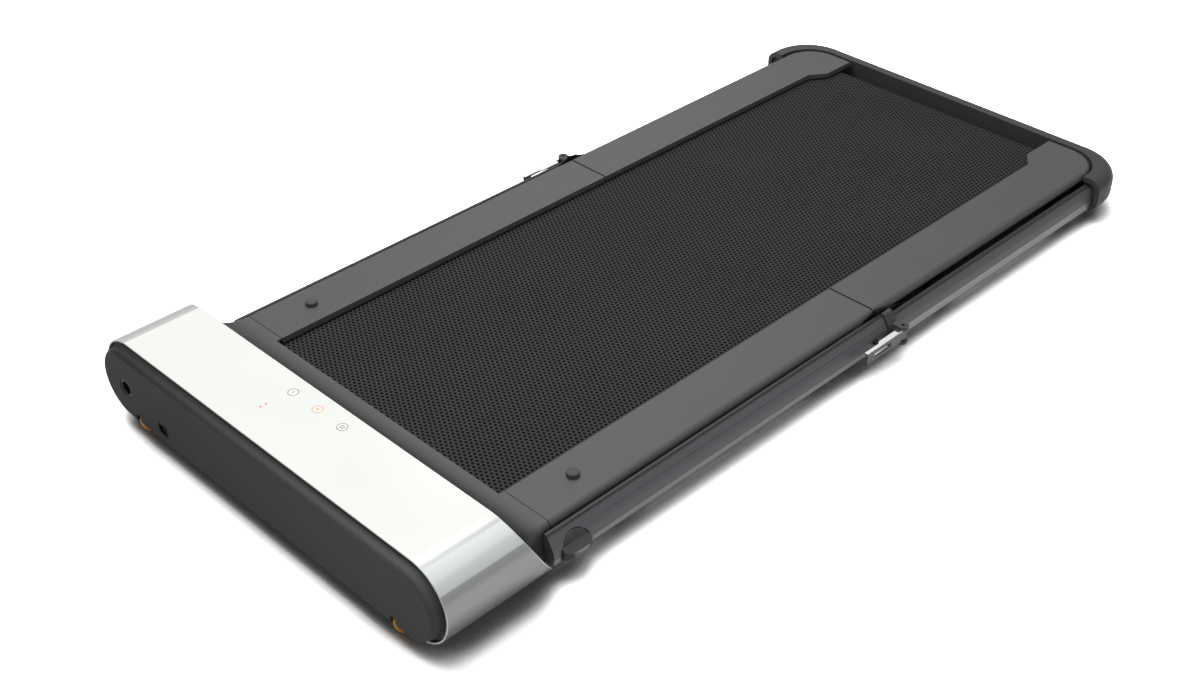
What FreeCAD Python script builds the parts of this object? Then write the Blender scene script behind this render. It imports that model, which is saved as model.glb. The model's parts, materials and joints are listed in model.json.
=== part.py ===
"""A fold-in-half walking pad, in millimetres.

+Z is up and the floor is z = 0. The console stands at -Y and the rear bar at +Y. Lengths along Y are measured
from the fold, and the finished pieces are shifted so that the whole part is centred on the origin.
"Left" is the +X side, as for a walker who faces the console.
"""
import FreeCAD, Part
import math
import os

V = FreeCAD.Vector
os.makedirs("parts", exist_ok=True)

# Rails and fold
RAIL_TOP = 75.0
RAIL_INNER = 220.5
RAIL_WIDTH = 79.0
RAIL_WALL = 3.0
RAIL_SKIRT_DEPTH = 10.0
RAIL_LIP_DEPTH = 8.5
RAIL_EDGE_RADIUS = 8.0
RAIL_FRONT_LENGTH = 613.0
RAIL_REAR_LENGTH = 591.0
RAIL_CORNER_RADIUS = 58.0
RAIL_STEP_DEPTH = 19.2
RAIL_STEP_SETBACK = 95.0
RAIL_STEP_LENGTH = 27.0
RAIL_STEP_RADIUS = 9.0
FOLD_SEAM = 3.0
FOLD_AXIS_RISE = 0.6
BUMPER_RADIUS = 8.5
BUMPER_HEIGHT = 6.5
BUMPER_EDGE_RADIUS = 1.5
BUMPER_STEM_RADIUS = 4.0
BUMPER_INSET = 37.0
BUMPER_SETBACK = 77.5

# Console
CONSOLE_OVERHANG = 40.0
CONSOLE_HEIGHT = 116.6
CONSOLE_FLOOR_GAP = 14.4
CONSOLE_LOW_AHEAD = 5.0
CONSOLE_LOW_LEAN = 44.2
CONSOLE_TOP_LEAN = 27.3
CONSOLE_TOP_DEPTH = 114.3
SHELL_WALL = 2.5
CAP_RECESS = 3.8
CAP_PROUD = 13.2
CAP_INSET = 8.3
CAP_EDGE_RADIUS = 7.0
CAP_WALL = 3.0
CAP_PLATE = 3.0
CAP_CLEARANCE = 0.5
KEY_RADIUS = 7.5
KEY_DEPTH = 0.6
KEY_PITCH = 48.5
KEY_SETBACK = 24.0
KEY_CLEARANCE = 0.1
DISPLAY_LENGTH = 150.0
DISPLAY_DEPTH = 74.0
DISPLAY_THICKNESS = 2.5
DISPLAY_SETBACK = 10.0
INLET_FROM_END = 61.5
INLET_DROP = 3.2
INLET_RADIUS = 13.0
INLET_BORE_RADIUS = 9.5
INLET_DEPTH = 28.0
INLET_BORE_DEPTH = 16.0
INLET_SETBACK = 1.0
INLET_PIN_RADIUS = 1.6
INLET_PIN_LENGTH = 8.0
INLET_PIN_CIRCLE = 5.0
INLET_PIN_COUNT = 3
SWITCH_FROM_END = 141.5
SWITCH_DROP = 26.7
BEZEL_WIDTH = 21.0
BEZEL_HEIGHT = 16.0
BEZEL_DEPTH = 22.0
BEZEL_BACK = 4.0
ROCKER_WIDTH = 14.6
ROCKER_HEIGHT = 9.0
ROCKER_DEPTH = 8.0
ROCKER_SETBACK = 2.0
ROCKER_SIDE_CLEARANCE = 0.3
ROCKER_END_CLEARANCE = 1.0
ROCKER_DIP = 0.8
ROCKER_PIN_RADIUS = 1.5
ROCKER_PIN_LENGTH = 2.0
COVER_WALL = 3.0
COVER_STATIONS = 5
COVER_SWELL = 3
COVER_FLARE = 2
COVER_REAR_DEPTH = 53.0
COVER_SKIRT_DEPTH = 29.0
COVER_FLANK = 3.5
COVER_SIDE_FLAT = 1.0
COVER_FRONT_CLEARANCE = 1.5
COVER_EDGE_AHEAD = 8.0
COVER_LIP_GAP = 2.0

# Rollers, belts and drive
ROLLER_RADIUS = 19.0
ROLLER_DROP = 32.0
ROLLER_OVERLAP = 1.5
FRONT_ROLLER_AHEAD = 28.0
REAR_ROLLER_SETBACK = 35.0
AXLE_RADIUS = 5.0
RUNNING_CLEARANCE = 0.05
BELT_OVERLAP = 5.5
BELT_THICKNESS = 2.0
BELT_CLEARANCE = 0.35
MOTOR_SETBACK = 58.8
MOTOR_DROP = 51.0
MOTOR_RADIUS = 36.0
MOTOR_LENGTH = 122.0
MOTOR_SHAFT_RADIUS = 5.0
MOTOR_SHAFT_GRIP = 40.0
MOUNT_MARGIN = 12.0
MOUNT_HALF_DEPTH = 25.0
MOUNT_DROP = 19.1
PULLEY_GAP = 10.0
PULLEY_WIDTH = 14.0
MOTOR_PULLEY_RADIUS = 13.0
ROLLER_PULLEY_RADIUS = 22.0
PULLEY_HUB_RADIUS = 9.0
DRIVE_BELT_WIDTH = 10.0
DRIVE_BELT_THICKNESS = 1.8
DRIVE_BELT_CLEARANCE = 0.3
CONTROL_OVERLAP = 9.5
CONTROL_LENGTH = 140.0
CONTROL_SETBACK = 18.8
CONTROL_DEPTH = 80.0
CONTROL_HEIGHT = 45.0

# Frame and decks
FRAME_INSET = 6.5
FRAME_WIDTH = 29.0
FRAME_HEIGHT = 34.0
FRAME_DROP = 13.0
FRAME_WALL = 2.5
FRAME_NOSE = 14.0
FRAME_TAIL = 7.0
FRAME_FOLD_GAP = 12.0
AXLE_REACH = 6.0
CROSS_DEPTH = 30.0
CROSS_HEIGHT = 17.0
CROSS_WALL = 2.0
FRONT_CROSS_INSET = 52.0
FOLD_CROSS_Y = 60.0
REAR_CROSS_INSET = 25.0
DECK_INSET = 5.5
DECK_THICKNESS = 15.0
DECK_CLEARANCE = 0.35
DECK_FRONT_GAP = 29.0
DECK_REAR_GAP = 26.0
DECK_FOLD_GAP = 8.0
BLOCK_LENGTH = 20.0
BLOCK_REAR = 6.0
BLOCK_CLEARANCE = 0.5
REAR_AXLE_REACH = 14.0
TENSION_SCREW_RADIUS = 3.0
END_CAP_THICKNESS = 2.5
END_CAP_SIDE = 4.0
SCREW_HEAD_RADIUS = 5.5
SCREW_HEAD_LENGTH = 3.0

# Side beams, side tubes and rear bar
BEAM_GAP = 3.9
BEAM_WIDTH = 18.6
BEAM_DROP = 5.5
BEAM_TOP_WIDTH = 5.2
BEAM_SHOULDER_INSET = 1.8
BEAM_SHOULDER_DROP = 25.0
BEAM_AHEAD = 15.0
BEAM_FOLD_END = 5.2
BEAM_SOLID_LENGTH = 88.0
STRIP_DROP = 36.0
STRIP_HEIGHT = 10.0
STRIP_INSET = 0.6
STRIP_TAPER = 0.6
CAVITY_SIDE = 4.5
CAVITY_WIDTH = 8.0
CAVITY_END = 6.0
TUBE_INSET = 2.3
TUBE_DROP = 13.0
TUBE_TOP_WIDTH = 6.3
TUBE_STRIP_HEIGHT = 15.0
TUBE_FOLD_END = 6.0
TUBE_GRIP = 24.0
SOFT_CORNER = 1.5
TOP_CORNER = 2.5
SHOULDER_RADIUS = 20.0
SPACER_LENGTH = 40.0
SPACER_HEIGHT = 16.0
SPACER_DROP = 35.0
BEAM_SPACER_SHARES = (0.816, 0.196)
TUBE_SPACER_SHARES = (0.254, 0.795)
BAR_PROUD = 12.0
BAR_GAP = 3.5
BAR_BEHIND = 31.5
BAR_THICKNESS = 29.8
BAR_SOLE = 3.5
BAR_ARM = 98.5
BAR_CORNER_RADIUS = 80.0
BAR_INNER_RADIUS = 60.0
BAR_EDGE_RADIUS = 20.0
BAR_LIP = 8.0
BAR_LIP_TOP = 9.0
BAR_LIP_SOLE = 6.5
BAR_RECESS = 5.0
BAR_RECESS_CORNER = 9.0

# Fold hinge
HINGE_EYE_RADIUS = 4.0
HINGE_PIN_RADIUS = 2.0
HINGE_LEAF = 1.5
HINGE_GAP = 0.3
HINGE_FOOT_START = 20.0
HINGE_FOOT_END = 70.0
HINGE_FOOT_DROP = 17.0
HINGE_FOOT_HEIGHT = 24.0

# Latches
COLLAR_FRONT = 6.0
COLLAR_REAR = 24.0
COLLAR_WALL = 1.5
COLLAR_DROP = 4.5
COLLAR_SOLE = 3.0
COLLAR_PROUD = 3.0
COLLAR_SHOULDER_DROP = 21.0
PIN_REACH = 13.0
PIN_Y = 19.5
PIN_RADIUS = 2.6
EAR_RADIUS = 8.0
EAR_DROP = 16.0
EAR_SPAN = 28.0
EAR_THICKNESS = 4.5
EAR_GAP = 0.4
KNUCKLE_RADIUS = 5.5
HASP_SHEET = 2.0
HASP_OFFSET = 2.5
HASP_LENGTH = 83.5
FLANGE_DEPTH = 6.5
FLANGE_TIP_DEPTH = 3.5
FLANGE_START = 13.5
FLANGE_KINK = 49.0
FLANGE_NARROW = 53.5
WINDOW_START = 31.5
WINDOW_END = 67.5
WINDOW_DROP = 11.0
WINDOW_HEIGHT = 7.0
TONGUE_DEPTH = 3.5
STRIKER_START = 37.5
STRIKER_END = 47.5
STRIKER_HEIGHT = 4.0
STRIKER_CLEARANCE = 0.5
STRIKER_SEAT = 2.0

# Pedals
PEDAL_BEHIND = 20.5
PEDAL_DROP = 38.5
NOTCH_RADIUS = 24.5
NOTCH_DEPTH = 15.0
PEDAL_CLEARANCE = 1.1
PEDAL_BACK_CLEARANCE = 2.0
PEDAL_BACK_RISE = 12.5
PEDAL_FACE_INSET = 2.5
PEDAL_TOP_INSET = 6.0
PEDAL_LEDGE_RISE = 10.5
PEDAL_TOE_REACH = 12.0
PEDAL_TOE_RISE = 4.5
PEDAL_TOE_THICKNESS = 6.0
PEDAL_PLAN_RADIUS = 34.0
PEDAL_HEEL_INSET = 5.0
PEDAL_HEEL_DROP = 5.5
PEDAL_PIN_INSET = 9.0
PEDAL_PIN_RISE = 17.0
PEDAL_PIN_RADIUS = 2.2
PEDAL_PIN_GRIP = 6.0

# Wheels and feet
WHEEL_FROM_END = 81.5
WHEEL_SETBACK = 10.8
WHEEL_FLOOR_GAP = 2.0
WHEEL_RADIUS = 22.0
WHEEL_WIDTH = 8.0
WHEEL_EDGE_RADIUS = 2.0
WHEEL_AXLE_RADIUS = 3.0
WHEEL_SIDE_CLEARANCE = 0.8
WHEEL_TOP_CLEARANCE = 1.5
FORK_SHEET = 3.5
FORK_DEPTH = 32.0
FORK_NOSE = 6.5
FORK_CLEARANCE = 0.5
SLOT_CLEARANCE = 1.5
SLOT_REAR_CLEARANCE = 3.0
NOTCH_RISE = 12.5
NOTCH_CORNER = 3.0
CONSOLE_FOOT_RADIUS = 15.0
CONSOLE_FOOT_FROM_END = 139.5
CONSOLE_FOOT_AHEAD = 0.5
FRAME_FOOT_RADIUS = 12.0
FRAME_FOOT_FOLD_Y = 75.0
FRAME_FOOT_SETBACK = 91.0
FOOT_EDGE_RADIUS = 2.0

# Where sizes meet, across
RAIL_OUTER = RAIL_INNER + RAIL_WIDTH
RAIL_NARROW_INNER = RAIL_INNER - RAIL_STEP_DEPTH
BUMPER_X = RAIL_INNER + BUMPER_INSET
CONSOLE_HALF = RAIL_OUTER + CONSOLE_OVERHANG
CONSOLE_WIDTH = 2 * CONSOLE_HALF
INLET_X = CONSOLE_HALF - INLET_FROM_END
SWITCH_X = CONSOLE_HALF - SWITCH_FROM_END
WHEEL_X = CONSOLE_HALF - WHEEL_FROM_END
CONSOLE_FOOT_X = CONSOLE_HALF - CONSOLE_FOOT_FROM_END
ROLLER_HALF_LENGTH = RAIL_INNER + ROLLER_OVERLAP
BELT_HALF_WIDTH = RAIL_INNER + BELT_OVERLAP
MOTOR_END_X = ROLLER_HALF_LENGTH
MOTOR_START_X = MOTOR_END_X - MOTOR_LENGTH
PULLEY_START_X = ROLLER_HALF_LENGTH + PULLEY_GAP
PULLEY_END_X = PULLEY_START_X + PULLEY_WIDTH
CONTROL_START_X = -RAIL_INNER - CONTROL_OVERLAP
CONTROL_END_X = CONTROL_START_X + CONTROL_LENGTH
FRAME_OUTER = RAIL_OUTER - FRAME_INSET
FRAME_INNER = FRAME_OUTER - FRAME_WIDTH
DECK_HALF_WIDTH = RAIL_INNER - DECK_INSET
BEAM_INNER = RAIL_OUTER + BEAM_GAP
BEAM_OUTER = BEAM_INNER + BEAM_WIDTH
TUBE_INNER = BEAM_INNER + TUBE_INSET
BAR_OUTER = BEAM_OUTER + BAR_PROUD
BAR_INNER = RAIL_OUTER + BAR_GAP
COLLAR_OUTER = BEAM_OUTER + COLLAR_PROUD
PIN_X = BEAM_OUTER + PIN_REACH
NOTCH_BACK_X = BEAM_OUTER - NOTCH_DEPTH
PEDAL_BACK_X = NOTCH_BACK_X + PEDAL_BACK_CLEARANCE
PEDAL_FACE_X = BEAM_OUTER - PEDAL_FACE_INSET
PEDAL_TOP_X = BEAM_OUTER - PEDAL_TOP_INSET
PEDAL_TOE_X = BEAM_OUTER + PEDAL_TOE_REACH
PEDAL_HEEL_X = BEAM_OUTER - PEDAL_HEEL_INSET
PEDAL_PIN_X = BEAM_OUTER - PEDAL_PIN_INSET

# Where sizes meet, along, as distances from the fold
CONSOLE_REAR_LOW = RAIL_FRONT_LENGTH + CONSOLE_LOW_AHEAD
CONSOLE_REAR_MIDDLE = CONSOLE_REAR_LOW + CONSOLE_LOW_LEAN
CONSOLE_REAR_TOP = CONSOLE_REAR_MIDDLE + CONSOLE_TOP_LEAN
CONSOLE_FRONT = CONSOLE_REAR_TOP + CONSOLE_TOP_DEPTH
CAP_FACE = CONSOLE_FRONT + CAP_PROUD
CAP_RING = CONSOLE_FRONT - CAP_RECESS
MOTOR_Y = CONSOLE_FRONT - MOTOR_SETBACK
CONTROL_FRONT = CONSOLE_FRONT - CONTROL_SETBACK
CONTROL_REAR = CONTROL_FRONT - CONTROL_DEPTH
WHEEL_Y = CONSOLE_FRONT - WHEEL_SETBACK
CONSOLE_FOOT_Y = CONSOLE_REAR_TOP + CONSOLE_FOOT_AHEAD
COVER_BELT_EDGE = RAIL_FRONT_LENGTH + COVER_EDGE_AHEAD
FRONT_ROLLER_Y = RAIL_FRONT_LENGTH + FRONT_ROLLER_AHEAD
FRAME_FRONT_END = FRONT_ROLLER_Y + FRAME_NOSE
DECK_FRONT_END = FRONT_ROLLER_Y - DECK_FRONT_GAP
FRONT_CROSS_Y = DECK_FRONT_END - FRONT_CROSS_INSET
BUMPER_Y = RAIL_FRONT_LENGTH - BUMPER_SETBACK
PEDAL_Y = RAIL_FRONT_LENGTH - PEDAL_BEHIND
BEAM_FRONT_END = RAIL_FRONT_LENGTH + BEAM_AHEAD
BEAM_SOLID_END = BEAM_FRONT_END - BEAM_SOLID_LENGTH
BEAM_SPACER_SPOTS = [RAIL_FRONT_LENGTH * share for share in BEAM_SPACER_SHARES]
RAIL_STEP_START = RAIL_REAR_LENGTH - RAIL_STEP_SETBACK
RAIL_STEP_END = RAIL_STEP_START + RAIL_STEP_LENGTH
REAR_ROLLER_Y = RAIL_REAR_LENGTH - REAR_ROLLER_SETBACK
FRAME_REAR_END = REAR_ROLLER_Y + FRAME_TAIL
DECK_REAR_END = REAR_ROLLER_Y - DECK_REAR_GAP
REAR_CROSS_Y = DECK_REAR_END - REAR_CROSS_INSET
FRAME_FOOT_REAR_Y = RAIL_REAR_LENGTH - FRAME_FOOT_SETBACK
BAR_REAR = RAIL_REAR_LENGTH + BAR_BEHIND
BAR_MOUTH = BAR_REAR - BAR_ARM
TUBE_REAR_END = BAR_MOUTH + TUBE_GRIP
TUBE_SPACER_SPOTS = [RAIL_REAR_LENGTH * share for share in TUBE_SPACER_SHARES]
Y_SHIFT = (CAP_FACE - BAR_REAR) / 2

# Where sizes meet, in height
FOLD_AXIS_Z = RAIL_TOP + FOLD_AXIS_RISE
CONSOLE_RADIUS = CONSOLE_HEIGHT / 2
CONSOLE_Z = CONSOLE_FLOOR_GAP + CONSOLE_RADIUS
CONSOLE_TOP = CONSOLE_FLOOR_GAP + CONSOLE_HEIGHT
SHELL_FLOOR = CONSOLE_FLOOR_GAP + SHELL_WALL
SHELL_CEILING = CONSOLE_TOP - SHELL_WALL
INLET_Z = CONSOLE_Z - INLET_DROP
SWITCH_Z = CONSOLE_Z - SWITCH_DROP
MOTOR_Z = CONSOLE_TOP - MOTOR_DROP
WHEEL_Z = WHEEL_RADIUS + WHEEL_FLOOR_GAP
NOTCH_TOP = WHEEL_Z + NOTCH_RISE
COVER_REAR_LOW = RAIL_TOP - COVER_REAR_DEPTH
COVER_SKIRT_Z = RAIL_TOP - COVER_SKIRT_DEPTH
ROLLER_Z = RAIL_TOP - ROLLER_DROP
BELT_INNER_RADIUS = ROLLER_RADIUS + BELT_CLEARANCE
BELT_OUTER_RADIUS = BELT_INNER_RADIUS + BELT_THICKNESS
BELT_TOP = ROLLER_Z + BELT_OUTER_RADIUS
DECK_TOP = ROLLER_Z + BELT_INNER_RADIUS - DECK_CLEARANCE
DECK_BOTTOM = DECK_TOP - DECK_THICKNESS
CROSS_BOTTOM = DECK_BOTTOM - CROSS_HEIGHT
FRAME_TOP = RAIL_TOP - FRAME_DROP
FRAME_BOTTOM = FRAME_TOP - FRAME_HEIGHT
BEAM_TOP = RAIL_TOP - BEAM_DROP
BEAM_SHOULDER_Z = RAIL_TOP - BEAM_SHOULDER_DROP
STRIP_TOP = RAIL_TOP - STRIP_DROP
BEAM_BOTTOM = STRIP_TOP - STRIP_HEIGHT
TUBE_TOP = RAIL_TOP - TUBE_DROP
TUBE_BOTTOM = STRIP_TOP - TUBE_STRIP_HEIGHT
BAR_BOTTOM = TUBE_BOTTOM - BAR_SOLE
SPACER_BOTTOM = RAIL_TOP - SPACER_DROP
HINGE_FOOT_TOP = RAIL_TOP - HINGE_FOOT_DROP
HINGE_FOOT_BOTTOM = HINGE_FOOT_TOP - HINGE_FOOT_HEIGHT
COLLAR_TOP = RAIL_TOP - COLLAR_DROP
COLLAR_BOTTOM = TUBE_BOTTOM - COLLAR_SOLE
COLLAR_SHOULDER_Z = RAIL_TOP - COLLAR_SHOULDER_DROP
EAR_TOP = RAIL_TOP - EAR_DROP
EAR_BOTTOM = EAR_TOP - EAR_SPAN
WINDOW_HIGH = EAR_TOP - WINDOW_DROP
WINDOW_LOW = WINDOW_HIGH - WINDOW_HEIGHT
STRIKER_HIGH = WINDOW_HIGH - STRIKER_CLEARANCE
STRIKER_LOW = STRIKER_HIGH - STRIKER_HEIGHT
PEDAL_Z = RAIL_TOP - PEDAL_DROP
PEDAL_BACK_Z = PEDAL_Z + PEDAL_BACK_RISE
PEDAL_LEDGE_Z = PEDAL_Z + PEDAL_LEDGE_RISE
PEDAL_TOE_Z = PEDAL_Z + PEDAL_TOE_RISE
PEDAL_HEEL_Z = PEDAL_Z - PEDAL_HEEL_DROP
PEDAL_PIN_Z = PEDAL_Z + PEDAL_PIN_RISE

# Working values
CUT = 2 * CONSOLE_HALF
EPSILON = 0.01


def outline(corners, place):
    """A closed wire through corners (u, v, radius), put into space by place(u, v)."""
    ends = []
    count = len(corners)
    for i in range(count):
        u, v, radius = corners[i]
        here = V(u, v, 0)
        before = V(corners[i - 1][0], corners[i - 1][1], 0) - here
        after = V(corners[(i + 1) % count][0], corners[(i + 1) % count][1], 0) - here
        if radius == 0:
            ends.append((here, None, here))
            continue
        before.normalize()
        after.normalize()
        half = before.getAngle(after) / 2
        bisector = (before + after).normalize()
        reach = radius / math.tan(half)
        middle = here + bisector * (radius / math.sin(half) - radius)
        ends.append((here + before * reach, middle, here + after * reach))
    edges = []
    for i in range(count):
        start, middle, end = ends[i]
        previous = ends[i - 1][2]
        if previous.distanceToPoint(start) > EPSILON:
            edges.append(Part.LineSegment(place(previous.x, previous.y), place(start.x, start.y)).toShape())
        if middle is not None:
            arc = Part.Arc(place(start.x, start.y), place(middle.x, middle.y), place(end.x, end.y))
            edges.append(arc.toShape())
    return Part.Wire(edges)


def prism_x(corners, low, high):
    """A solid from a (y, z) outline, drawn out along X."""
    face = Part.Face(outline(corners, lambda u, v: V(low, u, v)))
    return face.extrude(V(high - low, 0, 0))


def prism_y(corners, low, high):
    """A solid from an (x, z) outline, drawn out along Y."""
    face = Part.Face(outline(corners, lambda u, v: V(u, low, v)))
    return face.extrude(V(0, high - low, 0))


def prism_z(corners, low, high):
    """A solid from an (x, y) outline, drawn out along Z."""
    face = Part.Face(outline(corners, lambda u, v: V(u, v, low)))
    return face.extrude(V(0, 0, high - low))


def box(x, y, z):
    """A box between the (low, high) pairs x, y and z."""
    return Part.makeBox(x[1] - x[0], y[1] - y[0], z[1] - z[0], V(x[0], y[0], z[0]))


def rod_x(y, z, radius, low, high):
    return Part.makeCylinder(radius, high - low, V(low, y, z), V(1, 0, 0))


def rod_y(x, z, radius, low, high):
    return Part.makeCylinder(radius, high - low, V(x, low, z), V(0, 1, 0))


def rod_z(x, y, radius, low, high):
    return Part.makeCylinder(radius, high - low, V(x, y, low), V(0, 0, 1))


def mirrored(shape):
    """The same piece on the other side."""
    return shape.mirror(V(0, 0, 0), V(1, 0, 0))


def both_sides(shape):
    return Part.makeCompound([shape, mirrored(shape)])


def fused(shapes):
    return shapes[0].multiFuse(shapes[1:]).removeSplitter()


def rounded(shape, radius, chosen):
    """The shape with a fillet on each edge whose middle passes the test."""
    edges = [e for e in shape.Edges if chosen(e.BoundBox.Center, e.BoundBox)]
    return shape.makeFillet(radius, edges)


def stadium(inset):
    """The console's round-ended section, moved inwards."""
    half = CONSOLE_HALF - inset
    radius = CONSOLE_RADIUS - inset
    low = CONSOLE_Z - radius
    high = CONSOLE_Z + radius
    return [(-half, low, radius), (half, low, radius), (half, high, radius), (-half, high, radius)]


def rear_of_rim():
    """Everything behind the console's slanted, hollow-curved rear rim."""
    top = V(-CONSOLE_HALF, -CONSOLE_REAR_TOP, CONSOLE_TOP)
    middle = V(-CONSOLE_HALF, -CONSOLE_REAR_MIDDLE, CONSOLE_Z)
    low = V(-CONSOLE_HALF, -CONSOLE_REAR_LOW, CONSOLE_FLOOR_GAP)
    rim = Part.Arc(top, middle, low)
    path = [low, V(low.x, low.y, 0), V(low.x, CUT, 0), V(low.x, CUT, CUT), V(top.x, top.y, CUT), top]
    lines = [Part.LineSegment(a, b).toShape() for a, b in zip(path, path[1:])]
    return Part.Face(Part.Wire([rim.toShape()] + lines)).extrude(V(CONSOLE_WIDTH, 0, 0))


def key_spots():
    """The middle of each touch key, as (x, y)."""
    y = -CONSOLE_REAR_TOP - KEY_SETBACK
    return [(step * KEY_PITCH, y) for step in (-1, 0, 1)]


def wheel_slot():
    """The way for the left wheel through the sleeve's floor."""
    half = WHEEL_WIDTH / 2 + SLOT_CLEARANCE
    rear = -WHEEL_Y + WHEEL_RADIUS + SLOT_REAR_CLEARANCE
    return box((WHEEL_X - half, WHEEL_X + half), (-CAP_FACE, rear), (0, CONSOLE_Z))


def wheel_notch():
    """The arched notch for the left wheel in the cap."""
    half = WHEEL_WIDTH / 2 + WHEEL_SIDE_CLEARANCE
    corners = [
        (WHEEL_X - half, 0, 0),
        (WHEEL_X + half, 0, 0),
        (WHEEL_X + half, NOTCH_TOP, NOTCH_CORNER),
        (WHEEL_X - half, NOTCH_TOP, NOTCH_CORNER),
    ]
    return prism_y(corners, -CAP_FACE - CAP_PROUD, -CAP_RING + CUT)


def console_shell():
    sleeve = prism_y(stadium(0), -CONSOLE_FRONT, -CONSOLE_REAR_LOW)
    sleeve = sleeve.cut(prism_y(stadium(SHELL_WALL), -CONSOLE_FRONT, -CONSOLE_REAR_LOW))
    slot = wheel_slot()
    radius = KEY_RADIUS + KEY_CLEARANCE
    pockets = [rod_z(x, y, radius, CONSOLE_TOP - KEY_DEPTH, CONSOLE_TOP) for x, y in key_spots()]
    return sleeve.cut([rear_of_rim(), slot, mirrored(slot)] + pockets)


def touch_keys():
    keys = [rod_z(x, y, KEY_RADIUS, CONSOLE_TOP - KEY_DEPTH, CONSOLE_TOP) for x, y in key_spots()]
    return Part.makeCompound(keys)


def console_front_cap():
    face = prism_y(stadium(CAP_INSET), -CAP_FACE, -CAP_RING)
    face = rounded(face, CAP_EDGE_RADIUS, lambda c, b: b.YMax < -CAP_FACE + EPSILON)
    plate = prism_y(stadium(SHELL_WALL + CAP_CLEARANCE), -CAP_RING, -CAP_RING + CAP_PLATE)
    hollow = prism_y(stadium(CAP_INSET + CAP_WALL), -CAP_FACE + CAP_WALL, -CAP_RING + CAP_PLATE)
    inlet = rod_y(-INLET_X, INLET_Z, INLET_RADIUS, -CAP_FACE, -CAP_RING)
    switch = bezel_block()
    notch = wheel_notch()
    half = fork_reach() + FORK_CLEARANCE
    way = box((WHEEL_X - half, WHEEL_X + half), (-CAP_RING, -CAP_RING + CAP_PLATE), (0, CONSOLE_Z))
    return fused([face, plate]).cut([hollow, inlet, switch, notch, way, mirrored(notch), mirrored(way)])


def bezel_block():
    x = (-SWITCH_X - BEZEL_WIDTH / 2, -SWITCH_X + BEZEL_WIDTH / 2)
    z = (SWITCH_Z - BEZEL_HEIGHT / 2, SWITCH_Z + BEZEL_HEIGHT / 2)
    return box(x, (-CAP_FACE, -CAP_FACE + BEZEL_DEPTH), z)


def rocker_axis_y():
    return -CAP_FACE + ROCKER_SETBACK + ROCKER_DEPTH / 2


def switch_bezel():
    half_x = ROCKER_WIDTH / 2 + ROCKER_SIDE_CLEARANCE
    half_z = ROCKER_HEIGHT / 2 + ROCKER_END_CLEARANCE
    x = (-SWITCH_X - half_x, -SWITCH_X + half_x)
    z = (SWITCH_Z - half_z, SWITCH_Z + half_z)
    opening = box(x, (-CAP_FACE, -CAP_FACE + BEZEL_DEPTH - BEZEL_BACK), z)
    reach = ROCKER_WIDTH / 2 + ROCKER_PIN_LENGTH
    radius = ROCKER_PIN_RADIUS + RUNNING_CLEARANCE
    bore = rod_x(rocker_axis_y(), SWITCH_Z, radius, -SWITCH_X - reach, -SWITCH_X + reach)
    return bezel_block().cut([opening, bore])


def power_rocker():
    front = rocker_axis_y() - ROCKER_DEPTH / 2
    back = front + ROCKER_DEPTH
    half = ROCKER_HEIGHT / 2
    corners = [
        (front, SWITCH_Z + half, 0),
        (front + ROCKER_DIP, SWITCH_Z, 0),
        (front, SWITCH_Z - half, 0),
        (back, SWITCH_Z - half, 0),
        (back, SWITCH_Z + half, 0),
    ]
    paddle = prism_x(corners, -SWITCH_X - ROCKER_WIDTH / 2, -SWITCH_X + ROCKER_WIDTH / 2)
    reach = ROCKER_WIDTH / 2 + ROCKER_PIN_LENGTH - RUNNING_CLEARANCE
    pin = rod_x(rocker_axis_y(), SWITCH_Z, ROCKER_PIN_RADIUS, -SWITCH_X - reach, -SWITCH_X + reach)
    return fused([paddle, pin])


def power_inlet():
    front = -CAP_FACE + INLET_SETBACK
    body = rod_y(-INLET_X, INLET_Z, INLET_RADIUS, front, front + INLET_DEPTH)
    bore = rod_y(-INLET_X, INLET_Z, INLET_BORE_RADIUS, front, front + INLET_BORE_DEPTH)
    pins = []
    for number in range(INLET_PIN_COUNT):
        turn = 2 * math.pi * number / INLET_PIN_COUNT + math.pi / 2
        x = -INLET_X + INLET_PIN_CIRCLE * math.cos(turn)
        z = INLET_Z + INLET_PIN_CIRCLE * math.sin(turn)
        base = front + INLET_BORE_DEPTH
        pins.append(rod_y(x, z, INLET_PIN_RADIUS, base - INLET_PIN_LENGTH, base))
    return fused([body.cut(bore)] + pins)


def cover_loft(inset):
    """The front cover's filled form, from the console's section to that of the rails."""
    gap = SHELL_WALL + COVER_FRONT_CLEARANCE
    wires = []
    for number in range(COVER_STATIONS):
        share = number / (COVER_STATIONS - 1)
        swell = share ** COVER_SWELL
        y = RAIL_FRONT_LENGTH + share * (CONSOLE_REAR_TOP - RAIL_FRONT_LENGTH)
        half = RAIL_OUTER + share ** COVER_FLARE * (CONSOLE_HALF - gap - RAIL_OUTER)
        low = COVER_REAR_LOW + share * (CONSOLE_FLOOR_GAP + gap - COVER_REAR_LOW)
        top = RAIL_TOP + swell * (CONSOLE_TOP - gap - RAIL_TOP)
        radius = RAIL_EDGE_RADIUS + swell * (CONSOLE_RADIUS - gap - COVER_SIDE_FLAT - RAIL_EDGE_RADIUS)
        corners = [
            (-half + inset, low + inset, radius - inset),
            (half - inset, low + inset, radius - inset),
            (half - inset, top - inset, radius - inset),
            (-half + inset, top - inset, radius - inset),
        ]
        wires.append(outline(corners, lambda u, v: V(u, -y, v)))
    return Part.makeLoft(wires, True, False)


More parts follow.
